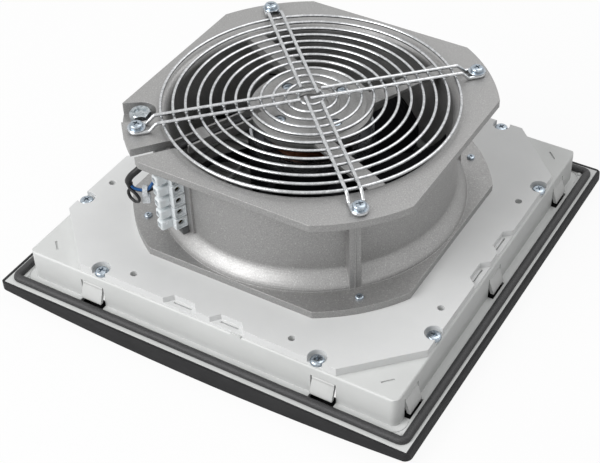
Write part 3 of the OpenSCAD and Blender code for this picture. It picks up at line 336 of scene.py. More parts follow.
# Finishes. Colours are linear; sizes of the patterns are in millimetres
plasticFacts = {
    "framePlastic": {"dark": (0.620, 0.630, 0.622), "light": (0.670, 0.680, 0.672), "flow": 46, "grain": 0.42,
                     "depth": 0.010, "rough": (0.36, 0.50), "edge": 0.45},
    "platePlastic": {"dark": (0.690, 0.697, 0.695), "light": (0.740, 0.747, 0.745), "flow": 60, "grain": 0.42,
                     "depth": 0.010, "rough": (0.34, 0.48), "edge": 0.45},
    "tonguePlastic": {"dark": (0.585, 0.592, 0.583), "light": (0.640, 0.647, 0.640), "flow": 12,
                      "grain": 0.42, "depth": 0.008, "rough": (0.32, 0.44), "edge": 0.35},
    "coverPlastic": {"dark": (0.017, 0.017, 0.018), "light": (0.024, 0.024, 0.025), "flow": 30, "grain": 0.5,
                     "depth": 0.016, "rough": (0.40, 0.52), "edge": 0.5, "specular": 0.2},
    "impellerPlastic": {"dark": (0.005, 0.005, 0.006), "light": (0.009, 0.009, 0.010), "flow": 18,
                        "grain": 0.5, "depth": 0.008, "rough": (0.36, 0.50), "edge": 0.3,
                        "ior": 1.28, "specular": 0.08},
    "endPlastic": {"dark": (0.085, 0.088, 0.092), "light": (0.105, 0.108, 0.112), "flow": 5, "grain": 0.35,
                   "depth": 0.006, "rough": (0.34, 0.46), "edge": 0.3},
}


def mouldedPlastic(name):
    facts = plasticFacts[name]
    material, nodes, links, shader, place = newShader(name, {"Metallic": 0, "IOR": facts.get("ior", 1.5),
                                                           "Specular IOR Level": facts.get("specular", 0.5)})
    flow = cloud(nodes, links, place, facts["flow"], 4, 0.6)
    grain = cloud(nodes, links, place, facts["grain"], 2)
    smear = cloud(nodes, links, stretched(nodes, links, place, (1, 1, 4)), facts["flow"] / 4, 3)
    links.new(blended(nodes, links, ranged(nodes, links, flow, 0, 1), facts["dark"], facts["light"]),
              shader.inputs["Base Color"])
    links.new(ranged(nodes, links, smear, *facts["rough"]), shader.inputs["Roughness"])
    addBump(nodes, links, shader, grain, facts["depth"], edge=facts["edge"])
    return material


castFacts = {"dark": (0.295, 0.293, 0.291), "light": (0.405, 0.402, 0.398), "shine": (0.60, 0.595, 0.59),
             "metal": 0.75, "grain": 0.85, "sand": (0.32, 0.68), "speck": (0.62, 0.72), "pits": 2.2,
             "pitShare": 0.8, "skin": 30, "rough": (0.40, 0.56), "depth": 0.05, "edge": 0.6}


def castMetal(name):
    material, nodes, links, shader, place = newShader(name, {"Metallic": castFacts["metal"]})
    grain = cloud(nodes, links, place, castFacts["grain"], 3, 0.65)
    pits = cloud(nodes, links, place, castFacts["pits"], 2)
    skin = cloud(nodes, links, place, castFacts["skin"], 3, 0.6)
    sand = ranged(nodes, links, grain, 0, 1, *castFacts["sand"])
    base = blended(nodes, links, sand, castFacts["dark"], castFacts["light"])
    speck = ranged(nodes, links, grain, 0, 1, *castFacts["speck"])
    base = blended(nodes, links, speck, base, castFacts["shine"])
    links.new(base, shader.inputs["Base Color"])
    links.new(ranged(nodes, links, skin, *castFacts["rough"]), shader.inputs["Roughness"])
    relief = combined(nodes, links, "ADD", grain, ranged(nodes, links, pits, 0, castFacts["pitShare"]))
    addBump(nodes, links, shader, relief, castFacts["depth"], edge=castFacts["edge"])
    return material


metalFacts = {
    "guardWire": {"dark": (0.42, 0.43, 0.44), "light": (0.68, 0.69, 0.70), "size": 3,
                  "rough": (0.16, 0.30), "depth": 0.004},
    "zincScrew": {"dark": (0.22, 0.26, 0.30), "light": (0.52, 0.58, 0.64), "size": 1.6,
                  "rough": (0.18, 0.34), "depth": 0.006},
    "washerZinc": {"dark": (0.30, 0.33, 0.36), "light": (0.56, 0.60, 0.64), "size": 2.2,
                   "rough": (0.20, 0.38), "depth": 0.006},
    "earthZinc": {"dark": (0.24, 0.27, 0.29), "light": (0.56, 0.60, 0.62), "size": 2.0,
                  "rough": (0.18, 0.36), "depth": 0.008},
    "rotorZinc": {"dark": (0.34, 0.35, 0.37), "light": (0.56, 0.57, 0.59), "size": 8, "stretch": (1, 1, 14),
                  "rough": (0.20, 0.34), "depth": 0.006},
    "groundSteel": {"dark": (0.50, 0.50, 0.50), "light": (0.62, 0.62, 0.62), "size": 2, "stretch": (1, 1, 10),
                    "rough": (0.14, 0.26), "depth": 0.003},
    "blackedSteel": {"dark": (0.05, 0.05, 0.05), "light": (0.09, 0.09, 0.09), "size": 2,
                     "rough": (0.30, 0.46), "depth": 0.004},
    "clampBrass": {"dark": (0.14, 0.10, 0.045), "light": (0.30, 0.22, 0.10), "size": 1.5,
                   "rough": (0.20, 0.36), "depth": 0.004},
}


def platedMetal(name):
    facts = metalFacts[name]
    material, nodes, links, shader, place = newShader(name, {"Metallic": 1})
    drawn = stretched(nodes, links, place, facts.get("stretch", (1, 1, 1)))
    tint = cloud(nodes, links, drawn, facts["size"], 4, 0.6)
    fine = cloud(nodes, links, drawn, facts["size"] / 5, 2)
    links.new(blended(nodes, links, ranged(nodes, links, tint, 0, 1), facts["dark"], facts["light"]),
              shader.inputs["Base Color"])
    links.new(ranged(nodes, links, fine, *facts["rough"]), shader.inputs["Roughness"])
    addBump(nodes, links, shader, fine, facts["depth"])
    return material


coreFacts = {"sheet": 0.5, "dark": (0.10, 0.10, 0.11), "light": (0.34, 0.34, 0.36), "rough": 0.38,
             "metal": 0.9, "waver": 0.4, "depth": 0.05}


def laminatedSteel(name):
    sockets = {"Metallic": coreFacts["metal"], "Roughness": coreFacts["rough"]}
    material, nodes, links, shader, place = newShader(name, sockets)
    wave = nodes.new("ShaderNodeTexWave")
    wave.bands_direction = "Z"
    wave.inputs["Scale"].default_value = bandScale(coreFacts["sheet"])
    wave.inputs["Distortion"].default_value = coreFacts["waver"]
    links.new(place, wave.inputs["Vector"])
    links.new(blended(nodes, links, wave.outputs["Fac"], coreFacts["dark"], coreFacts["light"]),
              shader.inputs["Base Color"])
    addBump(nodes, links, shader, wave.outputs["Fac"], coreFacts["depth"])
    return material


coilFacts = {"wire": 0.55, "dark": (0.12, 0.034, 0.012), "light": (0.30, 0.11, 0.045), "rough": 0.32,
             "metal": 0.85, "varnish": 0.5, "varnishRough": 0.15, "waver": 1.5, "depth": 0.12}


def woundCopper(name):
    sockets = {"Metallic": coilFacts["metal"], "Roughness": coilFacts["rough"],
               "Coat Weight": coilFacts["varnish"], "Coat Roughness": coilFacts["varnishRough"]}
    material, nodes, links, shader, place = newShader(name, sockets)
    rings = nodes.new("ShaderNodeTexWave")
    rings.wave_type = "RINGS"
    rings.rings_direction = "Z"
    rings.inputs["Scale"].default_value = bandScale(coilFacts["wire"])
    rings.inputs["Distortion"].default_value = coilFacts["waver"]
    links.new(place, rings.inputs["Vector"])
    links.new(blended(nodes, links, rings.outputs["Fac"], coilFacts["dark"], coilFacts["light"]),
              shader.inputs["Base Color"])
    addBump(nodes, links, shader, rings.outputs["Fac"], coilFacts["depth"])
    return material


clearFacts = {
    "terminalPlastic": {"dark": (0.76, 0.81, 0.83), "light": (0.88, 0.91, 0.93), "clear": 0.16,
                        "haze": 4, "grain": 0.6, "depth": 0.006, "rough": (0.16, 0.28), "edge": 0.5},
    "tieNylon": {"dark": (0.72, 0.75, 0.77), "light": (0.84, 0.86, 0.88), "clear": 0.2,
                 "haze": 4, "grain": 0.6, "depth": 0.006, "rough": (0.22, 0.34), "edge": 0},
}


def milkyPlastic(name):
    facts = clearFacts[name]
    sockets = {"IOR": 1.5, "Transmission Weight": facts["clear"]}
    material, nodes, links, shader, place = newShader(name, sockets)
    haze = cloud(nodes, links, place, facts["haze"], 3)
    fine = cloud(nodes, links, place, facts["grain"], 2)
    links.new(blended(nodes, links, ranged(nodes, links, haze, 0, 1), facts["dark"], facts["light"]),
              shader.inputs["Base Color"])
    links.new(ranged(nodes, links, haze, *facts["rough"]), shader.inputs["Roughness"])
    addBump(nodes, links, shader, fine, facts["depth"], edge=facts["edge"])
    return material


sleeveSurface = {"ior": 1.38, "smear": 3, "grain": 0.5, "depth": 0.01}
sleeveFacts = {
    "sheathRubber": {"dark": (0.010, 0.010, 0.011), "light": (0.018, 0.018, 0.019), "rough": (0.34, 0.48)},
    "blueSleeve": {"dark": (0.012, 0.085, 0.270), "light": (0.024, 0.130, 0.360), "rough": (0.28, 0.40)},
    "blackSleeve": {"dark": (0.008, 0.008, 0.009), "light": (0.015, 0.015, 0.016), "rough": (0.26, 0.38)},
}


def wireSleeve(name):
    facts = sleeveFacts[name]
    material, nodes, links, shader, place = newShader(name, {"IOR": sleeveSurface["ior"]})
    smear = cloud(nodes, links, place, sleeveSurface["smear"], 3)
    fine = cloud(nodes, links, place, sleeveSurface["grain"], 2)
    links.new(blended(nodes, links, ranged(nodes, links, smear, 0, 1), facts["dark"], facts["light"]),
              shader.inputs["Base Color"])
    links.new(ranged(nodes, links, smear, *facts["rough"]), shader.inputs["Roughness"])
    addBump(nodes, links, shader, fine, sleeveSurface["depth"])
    return material


foamFacts = {"dark": (0.022, 0.022, 0.023), "light": (0.062, 0.062, 0.064), "cell": 0.6,
             "poreDepthShade": (0.15, 0.65), "mottle": 3, "dimming": 0.45, "rough": 0.5, "depth": 0.10}


def openFoam(name):
    material, nodes, links, shader, place = newShader(name, {"Roughness": foamFacts["rough"]})
    cells = nodes.new("ShaderNodeTexVoronoi")
    cells.feature = "F1"
    cells.inputs["Scale"].default_value = 1 / (foamFacts["cell"] * mm)
    links.new(place, cells.inputs["Vector"])
    mottle = cloud(nodes, links, place, foamFacts["mottle"], 4, 0.7)
    # Cell tops light, low grooves between the cells dark: the cells are the foam's own texture, the darkening
    # of the grooves is painted shade
    poreDepthShade = ranged(nodes, links, cells.outputs["Distance"], 1, 0, *foamFacts["poreDepthShade"])
    colour = blended(nodes, links, poreDepthShade, foamFacts["dark"], foamFacts["light"])
    dim = ranged(nodes, links, mottle, 0, foamFacts["dimming"])
    links.new(blended(nodes, links, dim, colour, foamFacts["dark"]), shader.inputs["Base Color"])
    addBump(nodes, links, shader, poreDepthShade, foamFacts["depth"])
    return material


# Fleece colours: the white fleece is painted down to grey, painted shade for the dark inside of the fan; the
# fibre and tuft pattern is the fleece's own
shadedFleeceFacts = {"dark": (0.24, 0.24, 0.235), "light": (0.44, 0.44, 0.43), "fibre": 2.1, "tuft": 3.5,
               "tuftShare": (0.7, 1.1), "felt": (0.3, 0.62), "rough": 0.95, "sheen": 0.35,
               "sheenRough": 0.5, "depth": 0.3}


def fleece(name):
    facts = shadedFleeceFacts
    sockets = {"Roughness": facts["rough"], "Sheen Weight": facts["sheen"],
               "Sheen Roughness": facts["sheenRough"]}
    material, nodes, links, shader, place = newShader(name, sockets)
    along, across = (cloud(nodes, links, stretched(nodes, links, place, way), facts["fibre"], 4, 0.7)
                     for way in ((1, 7, 3), (7, 1, 3)))
    tufts = cloud(nodes, links, place, facts["tuft"], 4, 0.7)
    crossed = combined(nodes, links, "MAXIMUM", along, across)
    felt = combined(nodes, links, "MULTIPLY", crossed, ranged(nodes, links, tufts, *facts["tuftShare"]))
    tone = ranged(nodes, links, felt, 0, 1, *facts["felt"])
    # the grey tone here carries the painted shade of the fan's inside
    links.new(blended(nodes, links, tone, facts["dark"], facts["light"]), shader.inputs["Base Color"])
    addBump(nodes, links, shader, felt, facts["depth"])
    return material


finishes = {name: mouldedPlastic(name) for name in plasticFacts}
finishes.update({name: platedMetal(name) for name in metalFacts})
finishes.update({name: milkyPlastic(name) for name in clearFacts})
finishes.update({name: wireSleeve(name) for name in sleeveFacts})
finishes["castAluminium"] = castMetal("castAluminium")
finishes["laminatedSteel"] = laminatedSteel("laminatedSteel")
finishes["woundCopper"] = woundCopper("woundCopper")
finishes["sealFoam"] = openFoam("sealFoam")
finishes["matFleece"] = fleece("matFleece")

cadFinish = {
    "front_cover": "coverPlastic", "base_frame": "framePlastic", "carrier_plate": "platePlastic",
    "fan_housing": "castAluminium", "motor_flange": "castAluminium",
    "stator_core": "laminatedSteel", "rotor_core": "laminatedSteel", "stator_windings": "woundCopper",
    "bearings": "groundSteel", "shaft": "groundSteel", "shaft_clip": "blackedSteel",
    "rotor_can": "rotorZinc", "impeller": "impellerPlastic",
    "ground_screw": "earthZinc", "ground_washers": "washerZinc", "ground_nut": "earthZinc",
    "terminal_clamps": "clampBrass", "terminal_screws": "zincScrew", "terminal_end": "endPlastic",
}
tongueCount = 10
cadFinish.update({f"latch_{k + 1}": "tonguePlastic" for k in range(tongueCount)})


def finishCad():
    for node, finish in cadFinish.items():
        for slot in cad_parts[node].material_slots:
            slot.material = finishes[finish]
    print("CAD nodes finished:", len(cadFinish))


stripTurn = -24  # the strip and the lead's channel stand turned about the fan's middle, in degrees

# Wires: each route in shares of the flange's corner radius and of the fan's height over its foot
wiringFacts = {
    "cornerRadius": 129.2, "footLevel": 44.2, "fanHeight": 80,
    "leadStart": [(-17.5, -39.31, 118.45), (-17.5, -68.41, 118.45)],
    "lead": [(-0.4257, -0.6238, 0.9275), (-0.4481, -0.6687, 0.9125), (-0.4884, -0.6974, 0.890),
             (-0.5240, -0.7160, 0.8725), (-0.5440, -0.7625, 0.841), (-0.5665, -0.7990, 0.7975),
             (-0.5950, -0.8205, 0.745), (-0.6180, -0.8200, 0.680), (-0.6190, -0.8120, 0.636)],
    "blue": [(-0.6070, -0.8140, 0.631), (-0.5960, -0.8080, 0.600), (-0.5660, -0.7950, 0.583),
             (-0.5340, -0.7740, 0.590), (-0.5230, -0.7452, 0.625), (-0.5070, -0.7136, 0.668)],
    "black": [(-0.6270, -0.8150, 0.621), (-0.6084, -0.8220, 0.5925), (-0.5759, -0.8243, 0.5675),
              (-0.5604, -0.8212, 0.5225), (-0.5735, -0.8158, 0.475), (-0.6037, -0.8096, 0.455),
              (-0.6339, -0.8042, 0.475), (-0.6455, -0.7988, 0.5225), (-0.6262, -0.7941, 0.560),
              (-0.5921, -0.7887, 0.559), (-0.5460, -0.7700, 0.556), (-0.5230, -0.7452, 0.5675),
              (-0.5070, -0.7136, 0.5713)],
    "entries": {"blue": (-18, -108.4, 99.5), "black": (-18, -108.4, 89.9)},
    "entryDepth": 3, "sheath": 4.6, "wire": 2.2, "steps": 4, "roundness": 6,
}


def fromShare(share):
    x, y, z = share
    radius = wiringFacts["cornerRadius"]
    return Vector((x * radius, y * radius, wiringFacts["footLevel"] + z * wiringFacts["fanHeight"])) * mm


def fromStrip(point):
    return Matrix.Rotation(math.radians(stripTurn), 3, "Z") @ (Vector(point) * mm)


# One smooth curve through all the points of a route
def smoothRoute(points, steps):
    route = []
    for i in range(len(points) - 1):
        a, b = points[max(i - 1, 0)], points[i]
        c, d = points[i + 1], points[min(i + 2, len(points) - 1)]
        for k in range(steps):
            t = k / steps
            route.append(0.5 * (2 * b + (c - a) * t + (2 * a - 5 * b + 4 * c - d) * t * t
                                + (3 * b - a - 3 * c + d) * t ** 3))
    route.append(points[-1])
    return route


def routeLength(route):
    return sum((route[i + 1] - route[i]).length for i in range(len(route) - 1))


def layWire(name, route, diameter, finish):
    curve = bpy.data.curves.new(name, "CURVE")
    curve.dimensions = "3D"
    spline = curve.splines.new("POLY")
    spline.points.add(len(route) - 1)
    for point, place in zip(spline.points, route):
        point.co = (*place, 1)
    curve.bevel_depth = diameter / 2 * mm
    curve.bevel_resolution = wiringFacts["roundness"]
    curve.use_fill_caps = True
    wire = bpy.data.objects.new(name, curve)
    bpy.context.scene.collection.objects.link(wire)
    curve.materials.append(finishes[finish])
    return wire


def layWires():
    facts = wiringFacts
    lead = [fromStrip(p) for p in facts["leadStart"]] + [fromShare(s) for s in facts["lead"]]
    routes = {"motorLead": (lead, "motor_lead", "sheath", "sheathRubber", "sheath", "medium")}
    for name in ("blue", "black"):
        entry = facts["entries"][name]
        route = [fromShare(s) for s in facts[name]]
        route += [fromStrip(entry), fromStrip((entry[0] + facts["entryDepth"], entry[1], entry[2]))]
        routes[name + "Wire"] = (route, name + "_wire", "wire", name + "Sleeve", name, "limp")
    for name, (points, node, size, finish, slot, stiffness) in routes.items():
        route = smoothRoute(points, facts["steps"])
        wire = layWire(name, route, facts[size], finish)
        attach(wire, "frame")
        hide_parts(node)
        print(name, "length", round(routeLength(route), 4))


# Cable tie: ribbed strap, square head and the cut end of its tail
tieFacts = {"centre": (-0.5480, -0.7780, 0.5675), "turn": 30, "ring": 4.1, "strap": 0.9, "width": 3.4,
            "ribs": 40, "ribDepth": 0.15, "ribInset": 0.12, "head": (5.6, 4.6, 6.4), "round": 0.45,
            "tailThick": 1.1, "tailLength": 2.6, "tailOff": 0.4, "tailSunk": 0.3}


def makeTie():
    facts = tieFacts
    ribDepth = facts["ribDepth"]
    letGo()
    bpy.ops.mesh.primitive_cylinder_add(vertices=2 * facts["ribs"], radius=(facts["ring"] - ribDepth) * mm,
                                        depth=facts["width"] * mm, end_fill_type="NOTHING")
    strap = bpy.context.object
    bpy.ops.object.mode_set(mode="EDIT")
    bpy.ops.mesh.select_all(action="DESELECT")
    bpy.ops.object.mode_set(mode="OBJECT")
    for face in strap.data.polygons:  # every second face rises as a rib
        face.select = face.index % 2 == 0
    bpy.ops.object.mode_set(mode="EDIT")
    bpy.ops.mesh.select_mode(type="FACE")
    bpy.ops.mesh.inset(thickness=facts["ribInset"] * mm, depth=ribDepth * mm, use_individual=True)
    bpy.ops.object.mode_set(mode="OBJECT")
    wall = strap.modifiers.new("strapWall", "SOLIDIFY")
    wall.thickness = (facts["strap"] - ribDepth) * mm
    wall.offset = -1
    applyModifiers(strap)
    strap.data.transform(Matrix.Rotation(math.radians(90), 4, "Y"))
    parts = [strap]
    headHeight = facts["head"][2]
    middle = -facts["ring"] + facts["strap"] - headHeight / 2
    tailPlace = (0, facts["tailOff"], middle - headHeight / 2 + facts["tailSunk"])
    for size, place in ((facts["head"], (0, 0, middle)),
                        ((facts["width"], facts["tailThick"], facts["tailLength"]), tailPlace)):
        letGo()
        bpy.ops.mesh.primitive_cube_add(size=1, location=Vector(place) * mm)
        block = bpy.context.object
        block.scale = Vector(size) * mm
        bpy.ops.object.transform_apply(location=True, rotation=True, scale=True)
        addBevel(block, facts["round"] * mm, segments=3)
        applyModifiers(block)
        parts.append(block)
    tie = joinUp(parts, "wireTie")
    tie.data.transform(Matrix.Translation(fromShare(facts["centre"]))
                       @ Matrix.Rotation(math.radians(facts["turn"]), 4, "Z"))
    settle(tie)
    dress(tie, finishes["tieNylon"])
    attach(tie, "frame")
    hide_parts("cable_tie")
    print("tie made")


# Terminal strip: milky poles with rounded screw towers, open mouths and bores for the clamps
stripFacts = {"poles": 5, "lowest": 70.7, "pitch": 9.6,
              "body": {"from": (-18, -113.2, -4.5), "to": (0, -103.6, 4.5), "round": 0.7},
              "tower": {"from": (-11, -121.6, -3.8), "to": (-4, -112.4, 3.8), "round": 1.5},
              "mouth": {"from": (-1.3, -112.2, -3.5), "to": (1, -104.6, 3.5), "round": 0.6},
              "slot": {"from": (-4, -110.4, -1), "to": (1, -106.4, 1), "round": 0},
              "web": {"from": (-15, -106.6, 65.9), "to": (-3, -103.6, 113.9), "round": 0.5},
              "bores": [(1.9, 22, (-9, -108.4), "Y"), (2.95, 13.5, (-9.75, -108.4), "Y"),
                        (2.3, 15, (-7.5, -115.9), "X")]}


def blockBetween(facts):
    low, high = Vector(facts["from"]) * mm, Vector(facts["to"]) * mm
    letGo()
    bpy.ops.mesh.primitive_cube_add(size=1, location=(low + high) / 2)
    block = bpy.context.object
    block.scale = high - low
    bpy.ops.object.transform_apply(location=True, scale=True)
    if facts["round"]:
        addBevel(block, facts["round"] * mm, segments=4)
        applyModifiers(block)
    return block


def makeStrip():
    facts = stripFacts
    pole = blockBetween(facts["body"])
    cutAway(pole, blockBetween(facts["tower"]), "UNION")
    for part in ("mouth", "slot"):
        cutAway(pole, blockBetween(facts[part]))
    for radius, depth, (x, y), turnAbout in facts["bores"]:
        letGo()
        bpy.ops.mesh.primitive_cylinder_add(vertices=32, radius=radius * mm, depth=depth * mm)
        bore = bpy.context.object
        bore.data.transform(Matrix.Translation((x * mm, y * mm, 0))
                            @ Matrix.Rotation(math.radians(90), 4, turnAbout))
        cutAway(pole, bore)
    levels = [facts["lowest"] + k * facts["pitch"] for k in range(facts["poles"])]
    poles = spreadCopies(pole, "terminalStrip", [at(0, 0, level) for level in levels])
    strip = joinUp([poles, blockBetween(facts["web"])], "terminalStrip")
    strip.data.transform(Matrix.Rotation(math.radians(stripTurn), 4, "Z"))
    settle(strip)
    dress(strip, finishes["terminalPlastic"])
    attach(strip, "frame")
    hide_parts("terminal_block")
    print("terminal strip made")


# Pan head screws: outline of the head, ridged shank and cross recess
cornerPlace, plateReach, plateSpread = 84.78, 140, 84.9
hubCircle, hubTurn = 27, -22
screwFacts = {
    "plateScrews": {"node": "plate_screws", "head": 4.9, "high": 2.9, "shank": 2.1, "length": 8.2,
                    "level": 39.9,
                    "at": cornersOf(plateSpread, plateReach)
                          + [(y, x) for x, y in cornersOf(plateSpread, plateReach)]},
    "guardScrews": {"node": "guard_screws", "head": 4.7, "high": 3, "shank": 2.45, "length": 10.2,
                    "level": 127.8, "at": cornersOf(cornerPlace, cornerPlace)},
    "flangeScrews": {"node": "flange_screws", "head": 2.9, "high": 1.8, "shank": 1.9, "length": 9.8,
                     "level": 49.8, "at": cornersOf(cornerPlace, cornerPlace)},
    "hubScrews": {"node": "hub_screws", "head": 4, "high": 2.2, "shank": 2.4, "length": 6.7, "level": 120.2,
                  "at": [(hubCircle * math.cos(math.radians(90 * k + hubTurn)),
                          hubCircle * math.sin(math.radians(90 * k + hubTurn))) for k in range(4)]},
}
shankFacts = {"ridges": 8, "rootShare": 0.86, "neckShare": 0.9, "tipShare": 0.7, "tip": 0.6, "start": 0.9,
              "neck": 0.4, "turn": 17, "firstTurn": 8}
recessFacts = {"lengthShare": 1.15, "widthShare": 0.2, "highShare": 0.9, "levelShare": 0.85,
               "taperShare": 0.55}
# Shares of the head's radius and height
headOutline = [(1, 0), (1, 0.42), (0.985, 0.55), (0.93, 0.72), (0.85, 0.83), (0.75, 0.91), (0.6, 0.97),
               (0.4, 1), (0, 1)]


def makeRecess(head, high):
    facts = recessFacts
    blades = []
    for turn in (0, 90):
        letGo()
        bpy.ops.mesh.primitive_cube_add(size=1)
        blade = bpy.context.object
        blade.scale = (facts["lengthShare"] * head * mm, facts["widthShare"] * head * mm,
                       facts["highShare"] * high * mm)
        bpy.ops.object.transform_apply(scale=True)
        for corner in blade.data.vertices:
            if corner.co.z < 0:
                corner.co.x *= facts["taperShare"]
        blade.data.transform(Matrix.Translation((0, 0, facts["levelShare"] * high * mm))
                             @ Matrix.Rotation(math.radians(turn), 4, "Z"))
        blades.append(blade)
    return blades


def shankOutline(shank, length):
    facts = shankFacts
    root, neck = facts["rootShare"] * shank, facts["neckShare"] * shank
    pitch = (length - facts["start"] - facts["tip"]) / facts["ridges"]
    outline = [(0, -length), (facts["tipShare"] * shank, -length), (shank, facts["tip"] - length)]
    for k in range(facts["ridges"]):
        low = facts["start"] - length + k * pitch
        outline += [(root, low), (shank, low + pitch / 2)]
    return outline + [(neck, -facts["neck"]), (neck, 0)]


def makeScrews():
    for name, facts in screwFacts.items():
        head, high = facts["head"], facts["high"]
        profile = shankOutline(facts["shank"], facts["length"])
        profile += [(r * head, z * high) for r, z in headOutline]
        screw = lathe(name, profile, steps=40)
        for blade in makeRecess(head, high):
            cutAway(screw, blade)
        places = [at(x, y, facts["level"], shankFacts["turn"] * i + shankFacts["firstTurn"])
                  for i, (x, y) in enumerate(facts["at"])]
        screws = spreadCopies(screw, name, places)
        dress(screws, finishes["zincScrew"])
        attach(screws, "frame")
        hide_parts(facts["node"])
    print("screws made")


# Plain washers under the guard's screws
washerFacts = {"level": 126.8, "outer": 6.2, "inner": 2.65, "thick": 1, "round": 0.25}


def makeWashers():
    facts = washerFacts
    inner, outer, thick, turn = facts["inner"], facts["outer"], facts["thick"], facts["round"]
    profile = [(inner, 0), (outer - turn, 0), (outer, turn), (outer, thick - turn), (outer - turn, thick),
               (inner + turn, thick), (inner, thick - turn), (inner, 0)]
    washer = lathe("guardWashers", profile, steps=48)
    washers = spreadCopies(washer, "guardWashers",
                           [at(x, y, facts["level"]) for x, y in cornersOf(cornerPlace, cornerPlace)])
    dress(washers, finishes["washerZinc"])
    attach(washers, "frame")
    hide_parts("guard_washers")
    print("washers made")


# Finger guard: welded rings under four hairpin arms
guardFacts = {
    "count": 12, "outer": 102.4, "pitch": 8.5, "ringWire": 2.2, "ringLevel": 128.4, "armWire": 2.6,
    "armLevel": 130.8, "lowLevel": 125.5, "half": 4.8, "screwRing": 119.9, "crank": 6.5, "bend": 3,
    "slope": 45, "firstArm": -135, "endShares": [(-0.27, 1.83), (0.56, 2.19), (-0.38, 1.71), (-0.25, 1.77)],
    "weld": 1.25, "weldShares": (1.15, 1.15, 0.75), "weldClear": 0.8,
    "stepsAround": 160, "stepsOfWire": 14,
}


def armTurn(arm, size):
    return Matrix.Rotation(math.radians(90 * arm + guardFacts["firstArm"]), size, "Z")


def makeRings():
    facts = guardFacts
    radii = [facts["outer"] - k * facts["pitch"] for k in range(facts["count"])]
    rings = []
    for radius in radii:
        letGo()
        bpy.ops.mesh.primitive_torus_add(major_radius=radius * mm, minor_radius=facts["ringWire"] / 2 * mm,
                                         major_segments=facts["stepsAround"],
                                         minor_segments=facts["stepsOfWire"],
                                         location=(0, 0, facts["ringLevel"] * mm))
        bpy.ops.object.transform_apply(location=True)
        rings.append(bpy.context.object)
    welds = []
    seat = facts["ringLevel"] + facts["ringWire"] / 2
    for arm, ends in enumerate(facts["endShares"]):
        for side, end in zip((-1, 1), ends):
            for radius in radii:
                if radius <= facts["half"]:
                    continue
                x = math.sqrt(radius ** 2 - facts["half"] ** 2)
                if x >= facts["half"] * end + facts["weldClear"]:
                    welds.append(armTurn(arm, 4) @ Vector((x * mm, side * facts["half"] * mm, seat * mm)))
    letGo()
    bpy.ops.mesh.primitive_ico_sphere_add(subdivisions=2, radius=facts["weld"] * mm)
    weld = bpy.context.object
    weld.scale = facts["weldShares"]
    bpy.ops.object.transform_apply(scale=True)
    beads = spreadCopies(weld, "welds", [Matrix.Translation(p) for p in welds])
    guard = joinUp(rings + [beads], "guardRings")
    settle(guard, angle=60)
    dress(guard, finishes["guardWire"])
    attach(guard, "frame")
    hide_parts("finger_guard")
    print("rings made, welds:", len(welds))


# One leg of a hairpin, from its end near the middle down the crank to the loop round the screw
def armLeg(side, end):
    facts = guardFacts
    slope, bend = math.radians(facts["slope"]), facts["bend"]
    drop = facts["armLevel"] - facts["lowLevel"]
    dip = bend * (1 - math.cos(slope))
    slant = (drop - 2 * dip) / math.sin(slope)
    lowX = facts["screwRing"] - facts["crank"]
    highX = lowX - 2 * bend * math.sin(slope) - slant * math.cos(slope)
    y = side * facts["half"]
    leg = [(end * facts["half"], y, facts["armLevel"])]
    turns = [slope * k / 6 for k in range(7)]
    leg += [(highX + bend * math.sin(a), y, facts["armLevel"] - bend * (1 - math.cos(a))) for a in turns]
    leg += [(lowX - bend * math.sin(a), y, facts["lowLevel"] + bend * (1 - math.cos(a))) for a in turns[::-1]]
    return leg


def makeArms():
    facts = guardFacts
    arms = []
    half, ringX = facts["half"], facts["screwRing"]
    turns = [math.pi * k / 20 - math.pi / 2 for k in range(1, 20)]
    loop = [(ringX + half * math.cos(a), half * math.sin(a), facts["lowLevel"]) for a in turns]
    for arm, (near, far) in enumerate(facts["endShares"]):
        points = armLeg(-1, near) + loop + armLeg(1, far)[::-1]
        route = [armTurn(arm, 3) @ (Vector(p) * mm) for p in points]
        wire = layWire(f"arm{arm}", route, facts["armWire"], "guardWire")
        takeUp(wire)
        bpy.ops.object.convert(target="MESH")
        arms.append(bpy.context.object)
    joined = joinUp(arms, "guardArms")
    settle(joined, angle=50)
    dress(joined, finishes["guardWire"])
    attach(joined, "frame")
    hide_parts("guard_arms")
    print("arms made")


# Filter mat: needled fleece, softly lumped, with rounded cut edges
matFacts = {"half": 135.5, "low": 17.65, "high": 33.65, "round": 1.8, "lump": 0.5, "lumpSize": 9,
            "cuts": 54}


def makeMat():
    facts = matFacts
    letGo()
    inner = facts["half"] - facts["lump"]
    bpy.ops.mesh.primitive_cube_add(size=1, location=(0, 0, (facts["low"] + facts["high"]) / 2 * mm))
    mat = bpy.context.object
    mat.name = "fleeceMat"
    mat.scale = (2 * inner * mm, 2 * inner * mm, (facts["high"] - facts["low"] - 2 * facts["lump"]) * mm)
    bpy.ops.object.transform_apply(location=True, scale=True)
    addBevel(mat, facts["round"] * mm, segments=3)
    applyModifiers(mat)
    bpy.ops.object.mode_set(mode="EDIT")
    bpy.ops.mesh.select_all(action="SELECT")
    bpy.ops.mesh.subdivide(number_cuts=facts["cuts"])
    bpy.ops.object.mode_set(mode="OBJECT")
    texture = bpy.data.textures.new("lumps", "CLOUDS")
    texture.noise_scale = facts["lumpSize"] * mm
    texture.noise_depth = 2
    lumps = mat.modifiers.new("lumps", "DISPLACE")
    lumps.texture = texture
    lumps.texture_coords = "LOCAL"
    lumps.strength = 2 * facts["lump"] * mm
    lumps.mid_level = 0.5
    applyModifiers(mat)
    settle(mat, angle=80)
    dress(mat, finishes["matFleece"])
    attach(mat, "mat")
    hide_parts("filter_mat")
    print("mat made, faces:", len(mat.data.polygons))


# Foam bead laid round the flange
sealFacts = {"halfX": 154.25, "halfY": 153.15, "turn": 4, "cornerSteps": 6, "width": 6, "height": 4,
             "pressedShare": 0.99, "level": 14.02, "tuck": 0.15, "heel": 0.25, "step": 3,
             "wave": 0.07, "waves": (0.9, 0.37)}


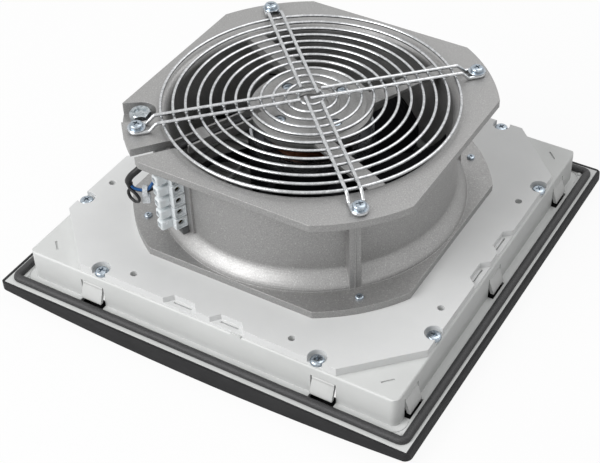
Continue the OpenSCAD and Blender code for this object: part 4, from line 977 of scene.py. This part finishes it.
# Points along the bead's middle, each with the direction that points out of the frame
def sealCourse():
    facts = sealFacts
    course = []
    turn, steps = facts["turn"], facts["cornerSteps"]
    cornerX, cornerY = facts["halfX"] - turn, facts["halfY"] - turn
    corners = [(1, 1), (-1, 1), (-1, -1), (1, -1)]
    for k, (sx, sy) in enumerate(corners):
        for j in range(steps + 1):
            a = math.radians(90 * (k + j / steps))
            nx, ny = math.cos(a), math.sin(a)
            course.append((sx * cornerX + turn * nx, sy * cornerY + turn * ny, nx, ny))
        nextX, nextY = corners[(k + 1) % 4]
        ax, ay, nx, ny = course[-1]
        dx, dy = (nextX - sx) * cornerX, (nextY - sy) * cornerY
        count = int((abs(dx) + abs(dy)) / facts["step"])
        course += [(ax + dx * j / count, ay + dy * j / count, nx, ny) for j in range(1, count)]
    return course


def makeSeal():
    facts = sealFacts
    course = sealCourse()
    half, foot = facts["width"] / 2, facts["height"] - facts["width"] / 2
    tuck, heel = facts["tuck"], facts["heel"]
    section = [(-half + tuck, 0), (half - tuck, 0), (half, heel), (half, foot)]
    arch = [math.pi * j / 10 for j in range(1, 10)]
    section += [(half * math.cos(a), foot + half * math.sin(a)) for a in arch]
    section += [(-half, foot), (-half, heel)]
    points, faces = [], []
    rows, cols = len(course), len(section)
    fast, slow = facts["waves"]
    for i, (x, y, nx, ny) in enumerate(course):
        # the round top swells and sinks a little along the bead
        swell = 1 - facts["wave"] * (0.5 + 0.5 * math.sin(i * fast) * math.cos(i * slow))
        for out, up in section:
            rise = facts["pressedShare"] * (up * swell if up > foot else up)
            points.append(((x + nx * out) * mm, (y + ny * out) * mm, (facts["level"] + rise) * mm))
    for i in range(rows):
        for j in range(cols):
            n, m = (i + 1) % rows, (j + 1) % cols
            faces.append((i * cols + j, n * cols + j, n * cols + m, i * cols + m))
    mesh = bpy.data.meshes.new("foamSeal")
    mesh.from_pydata(points, [], faces)
    seal = bpy.data.objects.new("foamSeal", mesh)
    bpy.context.scene.collection.objects.link(seal)
    takeUp(seal)
    bpy.ops.object.mode_set(mode="EDIT")
    bpy.ops.mesh.select_all(action="SELECT")
    bpy.ops.mesh.normals_make_consistent(inside=False)
    bpy.ops.object.mode_set(mode="OBJECT")
    settle(seal, angle=45)
    dress(seal, finishes["sealFoam"])
    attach(seal, "frame")
    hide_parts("seal")
    print("seal made")


setCamera()
layWires()
setStudio()
finishCad()
makeTie()
makeStrip()
makeScrews()
makeWashers()
makeRings()
makeArms()
makeMat()
makeSeal()
